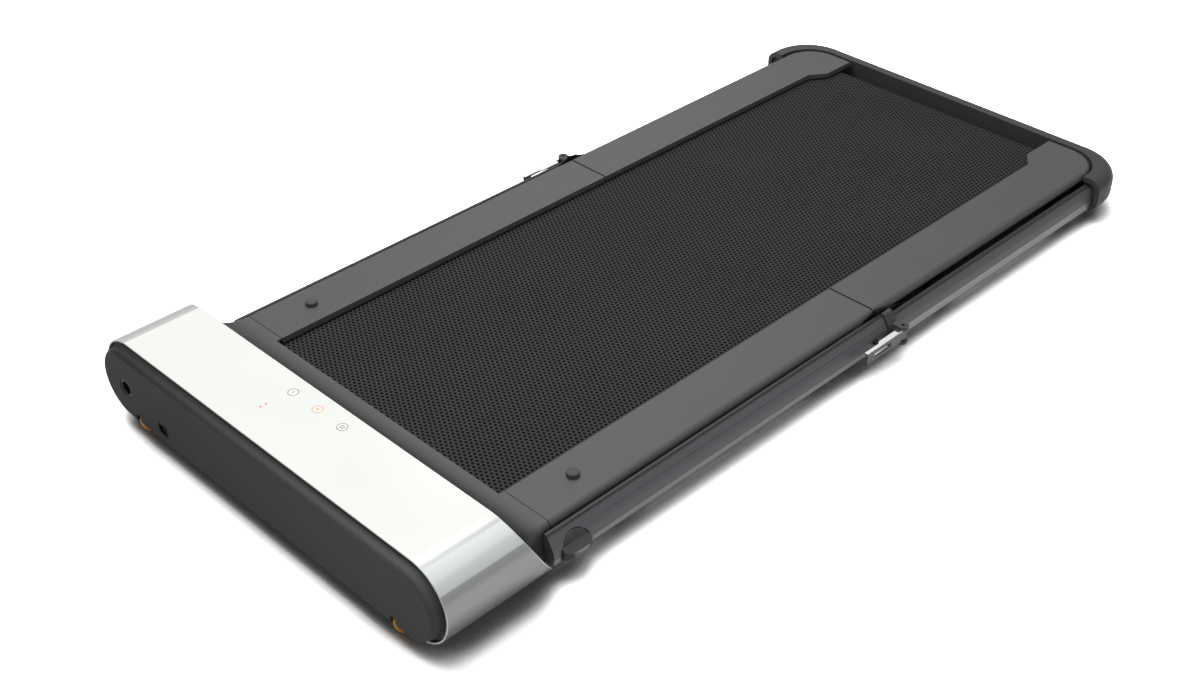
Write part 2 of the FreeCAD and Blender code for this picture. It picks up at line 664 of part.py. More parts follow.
def front_cover():
    flank = RAIL_OUTER - COVER_FLANK
    below = box((-flank, flank), (-CONSOLE_FRONT, 0), (0, COVER_SKIRT_Z))
    x = (-RAIL_INNER, RAIL_INNER)
    belt_way = box(x, (-COVER_BELT_EDGE, 0), (0, CUT))
    skin = cover_loft(0).cut([cover_loft(COVER_WALL), below, belt_way])
    lip_low = BELT_TOP + COVER_LIP_GAP
    lip = box(x, (-COVER_BELT_EDGE - COVER_WALL, -COVER_BELT_EDGE), (lip_low, CUT))
    return fused([skin, lip.common(cover_loft(0))])


def display_board():
    front = -CONSOLE_REAR_TOP - DISPLAY_SETBACK - DISPLAY_DEPTH
    x = (-DISPLAY_LENGTH / 2, DISPLAY_LENGTH / 2)
    return box(x, (front, front + DISPLAY_DEPTH), (SHELL_CEILING - DISPLAY_THICKNESS, SHELL_CEILING))


def control_unit():
    x = (CONTROL_START_X, CONTROL_END_X)
    return box(x, (-CONTROL_FRONT, -CONTROL_REAR), (SHELL_FLOOR, SHELL_FLOOR + CONTROL_HEIGHT))


def motor():
    body = rod_x(-MOTOR_Y, MOTOR_Z, MOTOR_RADIUS, MOTOR_START_X, MOTOR_END_X)
    radius = MOTOR_SHAFT_RADIUS + RUNNING_CLEARANCE
    return body.cut(rod_x(-MOTOR_Y, MOTOR_Z, radius, MOTOR_END_X - MOTOR_SHAFT_GRIP, MOTOR_END_X))


def motor_mount():
    x = (MOTOR_START_X + MOUNT_MARGIN, MOTOR_END_X - MOUNT_MARGIN)
    y = (-MOTOR_Y - MOUNT_HALF_DEPTH, -MOTOR_Y + MOUNT_HALF_DEPTH)
    cradle = box(x, y, (SHELL_FLOOR, MOTOR_Z - MOUNT_DROP))
    return cradle.cut(rod_x(-MOTOR_Y, MOTOR_Z, MOTOR_RADIUS, MOTOR_START_X, MOTOR_END_X))


def motor_pulley():
    wheel = rod_x(-MOTOR_Y, MOTOR_Z, MOTOR_PULLEY_RADIUS, PULLEY_START_X, PULLEY_END_X)
    start = MOTOR_END_X - MOTOR_SHAFT_GRIP + RUNNING_CLEARANCE
    return fused([wheel, rod_x(-MOTOR_Y, MOTOR_Z, MOTOR_SHAFT_RADIUS, start, PULLEY_END_X)])


def belt_round(first, second, low, high):
    """A belt's filled loop round two circles (y, z, radius), between two places along X."""
    (y1, z1, r1), (y2, z2, r2) = first, second
    span = math.hypot(y2 - y1, z2 - z1)
    heading = math.atan2(z2 - z1, y2 - y1)
    lean = math.acos((r1 - r2) / span)
    corners = []
    for (y, z, r), turn in ((first, lean), (second, lean), (second, -lean), (first, -lean)):
        corners.append((y + r * math.cos(heading + turn), z + r * math.sin(heading + turn), 0))
    discs = [rod_x(y, z, r, low, high) for y, z, r in (first, second)]
    return fused([prism_x(corners, low, high)] + discs)


def drive_belt():
    spare = (PULLEY_WIDTH - DRIVE_BELT_WIDTH) / 2
    low = PULLEY_START_X + spare
    high = low + DRIVE_BELT_WIDTH
    loops = []
    for grow in (DRIVE_BELT_CLEARANCE + DRIVE_BELT_THICKNESS, DRIVE_BELT_CLEARANCE):
        first = (-MOTOR_Y, MOTOR_Z, MOTOR_PULLEY_RADIUS + grow)
        second = (-FRONT_ROLLER_Y, ROLLER_Z, ROLLER_PULLEY_RADIUS + grow)
        loops.append(belt_round(first, second, low, high))
    return loops[0].cut(loops[1])


def walking_belt():
    loops = []
    for radius in (BELT_OUTER_RADIUS, BELT_INNER_RADIUS):
        first = (-FRONT_ROLLER_Y, ROLLER_Z, radius)
        second = (REAR_ROLLER_Y, ROLLER_Z, radius)
        loops.append(belt_round(first, second, -BELT_HALF_WIDTH, BELT_HALF_WIDTH))
    return loops[0].cut(loops[1])


def roller(y):
    bore = rod_x(y, ROLLER_Z, AXLE_RADIUS + RUNNING_CLEARANCE, -ROLLER_HALF_LENGTH, ROLLER_HALF_LENGTH)
    return rod_x(y, ROLLER_Z, ROLLER_RADIUS, -ROLLER_HALF_LENGTH, ROLLER_HALF_LENGTH).cut(bore)


def roller_pulley():
    y = -FRONT_ROLLER_Y
    rim = rod_x(y, ROLLER_Z, ROLLER_PULLEY_RADIUS, PULLEY_START_X, PULLEY_END_X)
    hub = rod_x(y, ROLLER_Z, PULLEY_HUB_RADIUS, ROLLER_HALF_LENGTH, PULLEY_START_X)
    bore = rod_x(y, ROLLER_Z, AXLE_RADIUS + RUNNING_CLEARANCE, ROLLER_HALF_LENGTH, PULLEY_END_X)
    return fused([rim, hub]).cut(bore)


def axle(y, reach):
    end = FRAME_INNER + reach
    return rod_x(y, ROLLER_Z, AXLE_RADIUS, -end, end)


def frame_tube(front, rear, axle_y):
    """The left frame tube of one half, with the hole for a roller's axle in its inner wall."""
    tube = box((FRAME_INNER, FRAME_OUTER), (front, rear), (FRAME_BOTTOM, FRAME_TOP))
    x = (FRAME_INNER + FRAME_WALL, FRAME_OUTER - FRAME_WALL)
    hollow = box(x, (front, rear), (FRAME_BOTTOM + FRAME_WALL, FRAME_TOP - FRAME_WALL))
    hole = rod_x(axle_y, ROLLER_Z, AXLE_RADIUS, FRAME_INNER, FRAME_INNER + FRAME_WALL)
    return tube.cut([hollow, hole])


def cross_tube(y):
    depth = (y - CROSS_DEPTH / 2, y + CROSS_DEPTH / 2)
    tube = box((-FRAME_INNER, FRAME_INNER), depth, (CROSS_BOTTOM, DECK_BOTTOM))
    inner_depth = (depth[0] + CROSS_WALL, depth[1] - CROSS_WALL)
    z = (CROSS_BOTTOM + CROSS_WALL, DECK_BOTTOM - CROSS_WALL)
    return tube.cut(box((-FRAME_INNER, FRAME_INNER), inner_depth, z))


def deck(front, rear):
    return box((-DECK_HALF_WIDTH, DECK_HALF_WIDTH), (front, rear), (DECK_BOTTOM, DECK_TOP))


def rail_cover(plan, inner_plan, front, rear):
    """A rail cover from its plan: a top with a rounded outer edge, walls all round and two legs."""
    skirt = RAIL_TOP - RAIL_SKIRT_DEPTH
    block = prism_z(plan, skirt, RAIL_TOP)

    def outer_top(centre, bounds):
        on_top = bounds.ZMin > RAIL_TOP - EPSILON
        on_side = bounds.XMin > RAIL_OUTER - EPSILON
        on_corner = bounds.YMin > RAIL_REAR_LENGTH - RAIL_CORNER_RADIUS - EPSILON
        return on_top and (on_side or on_corner and centre.x > RAIL_OUTER - RAIL_CORNER_RADIUS)

    block = rounded(block, RAIL_EDGE_RADIUS, outer_top)
    block = block.cut(prism_z(inner_plan, skirt, RAIL_TOP - RAIL_WALL))
    lip = box((0, FRAME_INNER), (front, rear), (skirt, RAIL_TOP - RAIL_LIP_DEPTH))
    legs = []
    for x in (FRAME_INNER, FRAME_OUTER - RAIL_WALL):
        far = min(rear, RAIL_REAR_LENGTH - RAIL_CORNER_RADIUS)
        legs.append(box((x, x + RAIL_WALL), (front, far), (FRAME_TOP, RAIL_TOP - RAIL_WALL)))
    return fused([block.cut(lip)] + legs)


def rail_cover_front():
    front = -RAIL_FRONT_LENGTH
    rear = -FOLD_SEAM / 2
    plans = []
    for inset in (0, RAIL_WALL):
        plans.append([
            (RAIL_INNER + inset, front + inset, 0),
            (RAIL_OUTER - inset, front + inset, 0),
            (RAIL_OUTER - inset, rear - inset, 0),
            (RAIL_INNER + inset, rear - inset, 0),
        ])
    cover = rail_cover(plans[0], plans[1], front, rear)
    return cover.cut(rod_z(BUMPER_X, -BUMPER_Y, BUMPER_STEM_RADIUS, RAIL_TOP - RAIL_WALL, RAIL_TOP))


def rail_cover_rear():
    front = FOLD_SEAM / 2
    plans = []
    for inset in (0, RAIL_WALL):
        plans.append([
            (RAIL_INNER + inset, front + inset, 0),
            (RAIL_OUTER - inset, front + inset, 0),
            (RAIL_OUTER - inset, RAIL_REAR_LENGTH - inset, RAIL_CORNER_RADIUS - inset),
            (RAIL_NARROW_INNER + inset, RAIL_REAR_LENGTH - inset, 0),
            (RAIL_NARROW_INNER + inset, RAIL_STEP_END + inset / 2, RAIL_STEP_RADIUS),
            (RAIL_INNER + inset, RAIL_STEP_START + inset / 2, RAIL_STEP_RADIUS),
        ])
    return rail_cover(plans[0], plans[1], front, RAIL_REAR_LENGTH)


def rail_bumpers():
    head = rod_z(BUMPER_X, -BUMPER_Y, BUMPER_RADIUS, RAIL_TOP, RAIL_TOP + BUMPER_HEIGHT)
    top = RAIL_TOP + BUMPER_HEIGHT
    head = rounded(head, BUMPER_EDGE_RADIUS, lambda c, b: b.ZMin > top - EPSILON)
    stem = rod_z(BUMPER_X, -BUMPER_Y, BUMPER_STEM_RADIUS, RAIL_TOP - RAIL_WALL, RAIL_TOP)
    return both_sides(fused([head, stem]))


def beam_corners(inner, top, top_width, bottom):
    """The section of a side beam or tube: a narrow top, a bulging side and a set-back lower strip."""
    strip = BEAM_OUTER - STRIP_INSET
    return [
        (inner, bottom, SOFT_CORNER),
        (inner, top, SOFT_CORNER),
        (inner + top_width, top, TOP_CORNER),
        (BEAM_OUTER - BEAM_SHOULDER_INSET, BEAM_SHOULDER_Z, SHOULDER_RADIUS),
        (BEAM_OUTER, STRIP_TOP, 0),
        (strip, STRIP_TOP, 0),
        (strip - STRIP_TAPER, bottom, SOFT_CORNER),
    ]


def cavity(inner, top, bottom, front, rear):
    x = (inner + CAVITY_SIDE, inner + CAVITY_SIDE + CAVITY_WIDTH)
    return box(x, (front, rear), (bottom + CAVITY_END, top - 2 * CAVITY_END))


def side_beam_front():
    corners = beam_corners(BEAM_INNER, BEAM_TOP, BEAM_TOP_WIDTH, BEAM_BOTTOM)
    beam = prism_y(corners, -BEAM_FRONT_END, BEAM_FOLD_END)
    hollow = cavity(BEAM_INNER, BEAM_TOP, BEAM_BOTTOM, -BEAM_SOLID_END, BEAM_FOLD_END)
    arch = rod_x(-PEDAL_Y, PEDAL_Z, NOTCH_RADIUS, NOTCH_BACK_X, CUT)
    y = (-PEDAL_Y - NOTCH_RADIUS, -PEDAL_Y + NOTCH_RADIUS)
    way = box((NOTCH_BACK_X, CUT), y, (0, PEDAL_Z))
    return beam.cut([hollow, arch, way, pedal_pin(), striker()])


def side_tube_rear():
    corners = beam_corners(TUBE_INNER, TUBE_TOP, TUBE_TOP_WIDTH, TUBE_BOTTOM)
    tube = prism_y(corners, TUBE_FOLD_END, TUBE_REAR_END)
    return tube.cut(cavity(TUBE_INNER, TUBE_TOP, TUBE_BOTTOM, TUBE_FOLD_END, TUBE_REAR_END))


def spacers(spots, outer, sign):
    blocks = []
    for spot in spots:
        y = (sign * spot - SPACER_LENGTH / 2, sign * spot + SPACER_LENGTH / 2)
        block = box((FRAME_OUTER, outer), y, (SPACER_BOTTOM, SPACER_BOTTOM + SPACER_HEIGHT))
        blocks += [block, mirrored(block)]
    return Part.makeCompound(blocks)


def rear_bar():
    inner_rear = BAR_REAR - BAR_THICKNESS
    corners = [
        (BAR_INNER, BAR_MOUTH, 0),
        (BAR_OUTER, BAR_MOUTH, 0),
        (BAR_OUTER, BAR_REAR, BAR_CORNER_RADIUS),
        (-BAR_OUTER, BAR_REAR, BAR_CORNER_RADIUS),
        (-BAR_OUTER, BAR_MOUTH, 0),
        (-BAR_INNER, BAR_MOUTH, 0),
        (-BAR_INNER, inner_rear, BAR_INNER_RADIUS),
        (BAR_INNER, inner_rear, BAR_INNER_RADIUS),
    ]
    bar = prism_z(corners, BAR_BOTTOM, RAIL_TOP)

    def outer_edge(centre, bounds):
        level = bounds.ZMax - bounds.ZMin < EPSILON
        side = abs(centre.x) > BAR_OUTER - EPSILON
        back = bounds.YMax > BAR_REAR - EPSILON
        return level and (side or back)

    bar = rounded(bar, BAR_EDGE_RADIUS, outer_edge)
    tube = beam_corners(TUBE_INNER, TUBE_TOP, TUBE_TOP_WIDTH, TUBE_BOTTOM)
    socket = prism_y(tube, BAR_MOUTH, TUBE_REAR_END)
    low = BAR_BOTTOM + BAR_LIP_SOLE
    high = RAIL_TOP - BAR_LIP_TOP
    recess = prism_y([
        (BAR_INNER - BAR_LIP, low, 0),
        (BAR_OUTER - BAR_LIP, low, BAR_RECESS_CORNER),
        (BAR_OUTER - BAR_LIP, high, BAR_RECESS_CORNER),
        (BAR_INNER - BAR_LIP, high, 0),
    ], BAR_MOUTH, BAR_MOUTH + BAR_RECESS)
    return bar.cut([socket, recess, mirrored(socket), mirrored(recess)])


def hinge_leaf(low_x, sign):
    """The left hinge leaf of one half: an eye on the fold axis and a foot on the frame tube."""
    high_x = low_x + HINGE_LEAF
    eye = rod_x(0, FOLD_AXIS_Z, HINGE_EYE_RADIUS, low_x, high_x)
    corners = [
        (0, FOLD_AXIS_Z + HINGE_EYE_RADIUS, 0),
        (0, FOLD_AXIS_Z - HINGE_EYE_RADIUS, 0),
        (sign * HINGE_FOOT_START, HINGE_FOOT_BOTTOM, 0),
        (sign * HINGE_FOOT_END, HINGE_FOOT_BOTTOM, 0),
        (sign * HINGE_FOOT_END, HINGE_FOOT_TOP, 0),
    ]
    web = prism_x(corners, low_x, high_x)
    y = sorted((sign * HINGE_FOOT_START, sign * HINGE_FOOT_END))
    foot = box((FRAME_OUTER, low_x), y, (HINGE_FOOT_BOTTOM, HINGE_FOOT_TOP))
    return fused([eye, web, foot])


def fold_hinge_front():
    low = RAIL_OUTER + HINGE_GAP
    leaf = hinge_leaf(low, -1)
    return both_sides(leaf.cut(rod_x(0, FOLD_AXIS_Z, HINGE_PIN_RADIUS, low, low + HINGE_LEAF)))


def fold_hinge_rear():
    low = RAIL_OUTER + HINGE_GAP + HINGE_LEAF + HINGE_GAP
    leaf = hinge_leaf(low, 1)
    radius = HINGE_PIN_RADIUS + RUNNING_CLEARANCE
    return both_sides(leaf.cut(rod_x(0, FOLD_AXIS_Z, radius, low, low + HINGE_LEAF)))


def fold_hinge_pins():
    low = RAIL_OUTER + HINGE_GAP
    high = low + HINGE_LEAF + HINGE_GAP + HINGE_LEAF
    return both_sides(rod_x(0, FOLD_AXIS_Z, HINGE_PIN_RADIUS, low, high))


def hinge_collar():
    inner = TUBE_INNER - COLLAR_WALL
    corners = [
        (inner, COLLAR_BOTTOM, SOFT_CORNER),
        (inner, COLLAR_TOP, TOP_CORNER),
        (inner + BEAM_TOP_WIDTH + COLLAR_WALL, COLLAR_TOP, TOP_CORNER),
        (COLLAR_OUTER - BEAM_SHOULDER_INSET, COLLAR_SHOULDER_Z, SHOULDER_RADIUS / 2),
        (COLLAR_OUTER, STRIP_TOP, 0),
        (COLLAR_OUTER - COLLAR_WALL, COLLAR_BOTTOM, TOP_CORNER),
    ]
    band = prism_y(corners, COLLAR_FRONT, COLLAR_REAR)
    tube = beam_corners(TUBE_INNER, TUBE_TOP, TUBE_TOP_WIDTH, TUBE_BOTTOM)
    hole = prism_y(tube, COLLAR_FRONT, COLLAR_REAR)
    ears = []
    for low in (EAR_TOP - EAR_THICKNESS, EAR_BOTTOM):
        disc = rod_z(PIN_X, PIN_Y, EAR_RADIUS, low, low + EAR_THICKNESS)
        x = (BEAM_OUTER, PIN_X)
        web = box(x, (PIN_Y - EAR_RADIUS, COLLAR_REAR), (low, low + EAR_THICKNESS))
        ears += [disc, web]
    collar = fused([band] + ears).cut(hole)
    return collar.cut(rod_z(PIN_X, PIN_Y, PIN_RADIUS, EAR_BOTTOM, EAR_TOP))


def latch_pins():
    return both_sides(rod_z(PIN_X, PIN_Y, PIN_RADIUS, EAR_BOTTOM, EAR_TOP))


def hasp():
    low = EAR_BOTTOM + EAR_THICKNESS + EAR_GAP
    high = EAR_TOP - EAR_THICKNESS - EAR_GAP
    face = PIN_X + HASP_OFFSET
    end = PIN_Y - HASP_LENGTH
    knuckle = rod_z(PIN_X, PIN_Y, KNUCKLE_RADIUS, low, high)
    plate = box((face, face + HASP_SHEET), (end, PIN_Y), (low, high))
    y = (PIN_Y - WINDOW_END, PIN_Y - WINDOW_START)
    window = box((face, face + HASP_SHEET), y, (WINDOW_LOW, WINDOW_HIGH))
    flange = prism_z([
        (face - FLANGE_DEPTH, PIN_Y - FLANGE_START, 0),
        (face, PIN_Y - FLANGE_START, 0),
        (face, end, 0),
        (face - FLANGE_TIP_DEPTH, end, 0),
        (face - FLANGE_TIP_DEPTH, PIN_Y - FLANGE_NARROW, 0),
        (face - FLANGE_DEPTH, PIN_Y - FLANGE_KINK, 0),
    ], high - HASP_SHEET, high)
    y = (PIN_Y - WINDOW_END + HASP_SHEET, PIN_Y - WINDOW_START - HASP_SHEET)
    tongue = box((face - TONGUE_DEPTH, face), y, (WINDOW_LOW - HASP_SHEET, WINDOW_LOW))
    bore = rod_z(PIN_X, PIN_Y, PIN_RADIUS + RUNNING_CLEARANCE, low, high)
    return fused([knuckle, plate.cut(window), flange, tongue]).cut(bore)


def striker():
    root = BEAM_OUTER - BEAM_SHOULDER_INSET - STRIKER_SEAT
    tip = PIN_X + HASP_OFFSET - FLANGE_DEPTH - STRIKER_CLEARANCE
    y = (PIN_Y - STRIKER_END, PIN_Y - STRIKER_START)
    return box((root, tip), y, (STRIKER_LOW, STRIKER_HIGH))


def pedal_pin():
    reach = NOTCH_RADIUS + PEDAL_PIN_GRIP
    return rod_y(PEDAL_PIN_X, PEDAL_PIN_Z, PEDAL_PIN_RADIUS, -PEDAL_Y - reach, -PEDAL_Y + reach)


def pedal():
    radius = NOTCH_RADIUS - PEDAL_CLEARANCE
    top = PEDAL_Z + radius
    corners = [
        (PEDAL_BACK_X, top, 0),
        (PEDAL_TOP_X, top, 0),
        (PEDAL_FACE_X, PEDAL_LEDGE_Z, 0),
        (PEDAL_TOE_X, PEDAL_TOE_Z, 0),
        (PEDAL_TOE_X, PEDAL_TOE_Z - PEDAL_TOE_THICKNESS, 0),
        (PEDAL_FACE_X, PEDAL_HEEL_Z, 0),
        (PEDAL_HEEL_X, PEDAL_HEEL_Z, 0),
        (PEDAL_BACK_X, PEDAL_BACK_Z, 0),
    ]
    body = prism_y(corners, -PEDAL_Y - radius, -PEDAL_Y + radius)
    body = body.common(rod_x(-PEDAL_Y, PEDAL_Z, radius, PEDAL_BACK_X, PEDAL_TOE_X))
    body = body.common(rod_z(PEDAL_TOE_X - PEDAL_PLAN_RADIUS, -PEDAL_Y, PEDAL_PLAN_RADIUS, 0, RAIL_TOP))
    bore_radius = PEDAL_PIN_RADIUS + RUNNING_CLEARANCE
    bore = rod_y(PEDAL_PIN_X, PEDAL_PIN_Z, bore_radius, -PEDAL_Y - radius, -PEDAL_Y + radius)
    return body.cut(bore)


def wheel():
    half = WHEEL_WIDTH / 2
    disc = rod_x(-WHEEL_Y, WHEEL_Z, WHEEL_RADIUS, WHEEL_X - half, WHEEL_X + half)
    disc = rounded(disc, WHEEL_EDGE_RADIUS, lambda c, b: b.XMax - b.XMin < EPSILON)
    radius = WHEEL_AXLE_RADIUS + RUNNING_CLEARANCE
    return disc.cut(rod_x(-WHEEL_Y, WHEEL_Z, radius, WHEEL_X - half, WHEEL_X + half))


def fork_reach():
    return WHEEL_WIDTH / 2 + SLOT_CLEARANCE + FORK_SHEET


def wheel_forks():
    inner = fork_reach() - FORK_SHEET
    front = -WHEEL_Y - FORK_NOSE
    y = (front, front + FORK_DEPTH)
    crown = WHEEL_Z + WHEEL_RADIUS + WHEEL_TOP_CLEARANCE
    outer = box((WHEEL_X - fork_reach(), WHEEL_X + fork_reach()), y, (SHELL_FLOOR, crown + FORK_SHEET))
    gap = box((WHEEL_X - inner, WHEEL_X + inner), y, (SHELL_FLOOR, crown))
    bore = rod_x(-WHEEL_Y, WHEEL_Z, WHEEL_AXLE_RADIUS, WHEEL_X - fork_reach(), WHEEL_X + fork_reach())
    return both_sides(outer.cut([gap, bore]))


def wheel_axles():
    reach = fork_reach()
    return both_sides(rod_x(-WHEEL_Y, WHEEL_Z, WHEEL_AXLE_RADIUS, WHEEL_X - reach, WHEEL_X + reach))


def foot(x, y, radius, top):
    pad = rod_z(x, y, radius, 0, top)
    return rounded(pad, FOOT_EDGE_RADIUS, lambda c, b: b.ZMax < EPSILON)


def console_feet():
    return both_sides(foot(CONSOLE_FOOT_X, -CONSOLE_FOOT_Y, CONSOLE_FOOT_RADIUS, CONSOLE_FLOOR_GAP))


def frame_feet(spots):
    x = FRAME_OUTER - FRAME_WIDTH / 2
    feet = [foot(x, y, FRAME_FOOT_RADIUS, FRAME_BOTTOM) for y in spots]
    return Part.makeCompound(feet + [mirrored(f) for f in feet])


def tension_block():
    x = (FRAME_INNER + FRAME_WALL, FRAME_OUTER - FRAME_WALL - BLOCK_CLEARANCE)
    rear = REAR_ROLLER_Y + BLOCK_REAR
    z = (FRAME_BOTTOM + FRAME_WALL, FRAME_TOP - FRAME_WALL - BLOCK_CLEARANCE)
    return box(x, (rear - BLOCK_LENGTH, rear), z).cut(axle(REAR_ROLLER_Y, REAR_AXLE_REACH))


def tube_end_cap():
    x = (FRAME_INNER, FRAME_OUTER - END_CAP_SIDE)
    plate = box(x, (FRAME_REAR_END, FRAME_REAR_END + END_CAP_THICKNESS), (FRAME_BOTTOM, FRAME_TOP))
    return plate.cut(tension_screw())


def tension_screw():
    x = FRAME_OUTER - FRAME_WIDTH / 2
    seat = FRAME_REAR_END + END_CAP_THICKNESS
    shank = rod_y(x, ROLLER_Z, TENSION_SCREW_RADIUS, REAR_ROLLER_Y + BLOCK_REAR, seat)
    head = rod_y(x, ROLLER_Z, SCREW_HEAD_RADIUS, seat, seat + SCREW_HEAD_LENGTH)
    return fused([shank, head])


front_tube = frame_tube(-FRAME_FRONT_END, -FRAME_FOLD_GAP / 2, -FRONT_ROLLER_Y)
rear_tube = frame_tube(FRAME_FOLD_GAP / 2, FRAME_REAR_END, REAR_ROLLER_Y)
front_rail = rail_cover_front()
rear_rail = rail_cover_rear()
beam = side_beam_front()
tube = side_tube_rear()
collar = hinge_collar()

pieces = {
    "console_shell": console_shell(),
    "console_front_cap": console_front_cap(),
    "front_cover": front_cover(),
    "touch_keys": touch_keys(),
    "display_board": display_board(),
    "power_inlet": power_inlet(),
    "switch_bezel": switch_bezel(),
    "power_rocker": power_rocker(),
    "control_unit": control_unit(),
    "motor": motor(),
    "motor_mount": motor_mount(),
    "motor_pulley": motor_pulley(),
    "drive_belt": drive_belt(),
    "front_roller": roller(-FRONT_ROLLER_Y),
    "roller_pulley": roller_pulley(),
    "front_axle": axle(-FRONT_ROLLER_Y, AXLE_REACH),
    "walking_belt": walking_belt(),
    "frame_tube_front_left": front_tube,
    "frame_tube_front_right": mirrored(front_tube),
    "front_cross_tubes": Part.makeCompound([cross_tube(-FRONT_CROSS_Y), cross_tube(-FOLD_CROSS_Y)]),
    "front_deck": deck(-DECK_FRONT_END, -DECK_FOLD_GAP / 2),
    "rail_cover_front_left": front_rail,
    "rail_cover_front_right": mirrored(front_rail),
    "rail_bumpers": rail_bumpers(),
    "side_beam_front_left": beam,
    "side_beam_front_right": mirrored(beam),
    "beam_spacers": spacers(BEAM_SPACER_SPOTS, BEAM_INNER, -1),
    "latch_strikers": both_sides(striker()),
    "pedal_left": pedal(),
    "pedal_right": mirrored(pedal()),
    "pedal_pins": both_sides(pedal_pin()),
    "fold_hinge_front": fold_hinge_front(),
    "fold_hinge_pins": fold_hinge_pins(),
    "wheel_left": wheel(),
    "wheel_right": mirrored(wheel()),
    "wheel_forks": wheel_forks(),
    "wheel_axles": wheel_axles(),
    "front_feet": Part.makeCompound([console_feet(), frame_feet([-FRAME_FOOT_FOLD_Y])]),
    "frame_tube_rear_left": rear_tube,
    "frame_tube_rear_right": mirrored(rear_tube),
    "rear_cross_tubes": Part.makeCompound([cross_tube(FOLD_CROSS_Y), cross_tube(REAR_CROSS_Y)]),
    "rear_deck": deck(DECK_FOLD_GAP / 2, DECK_REAR_END),
    "rail_cover_rear_left": rear_rail,
    "rail_cover_rear_right": mirrored(rear_rail),
    "rear_roller": roller(REAR_ROLLER_Y),
    "rear_axle": axle(REAR_ROLLER_Y, REAR_AXLE_REACH),
    "tension_blocks": both_sides(tension_block()),
    "tension_screws": both_sides(tension_screw()),
    "tube_end_caps": both_sides(tube_end_cap()),
    "side_tube_rear_left": tube,
    "side_tube_rear_right": mirrored(tube),
    "tube_spacers": spacers(TUBE_SPACER_SPOTS, TUBE_INNER, 1),
    "rear_bar": rear_bar(),
    "fold_hinge_rear": fold_hinge_rear(),
    "hinge_collar_left": collar,
    "hinge_collar_right": mirrored(collar),
    "latch_pins": latch_pins(),
    "hasp_left": hasp(),
    "hasp_right": mirrored(hasp()),
    "rear_feet": frame_feet([FRAME_FOOT_FOLD_Y, FRAME_FOOT_REAR_Y]),
}

for name, shape in pieces.items():
    shape.translate(V(0, Y_SHIFT, 0))
    shape.exportStep("parts/" + name + ".step")
    print(name, len(shape.Solids), shape.isValid(), round(shape.Volume))
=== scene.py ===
"""Looks of a fold-in-half walking pad.

Sizes in this file are millimetres and Y is measured from the fold, as in the solids. Every piece is
turned into metres in the shared frame when it is finished. Floor, lamps and camera are placed in metres.
"""

import functools
import json
import math

import bmesh
import bpy
from mathutils import Matrix, Vector


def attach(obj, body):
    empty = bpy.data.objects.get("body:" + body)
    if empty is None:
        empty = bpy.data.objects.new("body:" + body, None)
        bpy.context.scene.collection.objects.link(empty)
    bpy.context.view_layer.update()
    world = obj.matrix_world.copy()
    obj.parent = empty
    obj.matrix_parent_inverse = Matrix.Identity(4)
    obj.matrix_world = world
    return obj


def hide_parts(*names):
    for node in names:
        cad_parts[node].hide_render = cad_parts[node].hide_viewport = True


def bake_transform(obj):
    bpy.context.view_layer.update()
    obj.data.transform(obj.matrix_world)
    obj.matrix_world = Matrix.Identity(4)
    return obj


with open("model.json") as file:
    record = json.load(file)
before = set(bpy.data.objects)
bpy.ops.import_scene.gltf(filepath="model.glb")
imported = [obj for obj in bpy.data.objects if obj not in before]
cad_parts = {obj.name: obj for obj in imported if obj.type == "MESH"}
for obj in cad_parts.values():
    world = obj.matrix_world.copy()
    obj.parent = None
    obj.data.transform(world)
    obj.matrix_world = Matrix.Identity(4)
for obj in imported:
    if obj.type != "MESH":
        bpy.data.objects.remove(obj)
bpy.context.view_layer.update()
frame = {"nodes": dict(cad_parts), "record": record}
nodes = frame["nodes"]

MM = 0.001
FOLD_Y = 97.25
SIDES = {"left": 1, "right": -1}

CONSOLE_END_X = 281.2
CONSOLE_Z = 72.7
CONSOLE_RADIUS = 58.3
CONSOLE_FRONT = -803.8
CONSOLE_TOP = 131.0
CONSOLE_STEPS = 168
RIM_Y = -381.23
RIM_Z = 239.81
RIM_RADIUS = 326.91
SHELL_WALL = 2.5
CAP_FACE = -817.0
LAMP_X = -52.9
LAMP_Y = -755.0
LAMP_HALF_GAP = 4.0
HIGHLIGHT_BAND_FOOT = 104.5
KEY_Y = -713.5
KEY_PITCH = 48.5
KEY_RADIUS = 7.5
KEY_GAP = 0.1
KEY_POCKET = 1.2
INLET_X = -278.0
INLET_Z = 69.5
INLET_PINS = 3
INLET_PIN_CIRCLE = 5.0
BELT_HALF = 226.0
BELT_RADIUS = 21.35
BELT_WALL = 2.0
ROLLER_Z = 43.0
FRONT_ROLLER_Y = -641.0
REAR_ROLLER_Y = 556.0
BELT_STEPS = 96
DIMPLE_PITCH = 7.03
DIMPLE_RADIUS = 1.8
FOLD_CUTS = range(-64, 65, 4)
STRIP_TOP = 39.0
BEAM_TOP = 69.5
TUBE_TOP = 62.0
WHEEL_X = 258.0
WHEEL_Y = -793.0
WHEEL_Z = 24.0
WHEEL_SLOT_HALF = 5.5
WHEEL_SLOT_REACH = 25.0
BUMPER_X = 257.5
BUMPER_Y = -535.5
COVER_SEAM = -613.0
PEDAL_TREAD = 320.5
PEDAL_LIP = 331.0
HASP_FLANGE = 53.6
DECK_FOOT = 47.0
DECK_TOP = 62.0
PIN_X = 335.0
PIN_Y = 19.5
PAD_PITCH = 5.08

WHITE = (245, 247, 242), (252, 254, 249)
RAIL_GREY = (96, 96, 97)

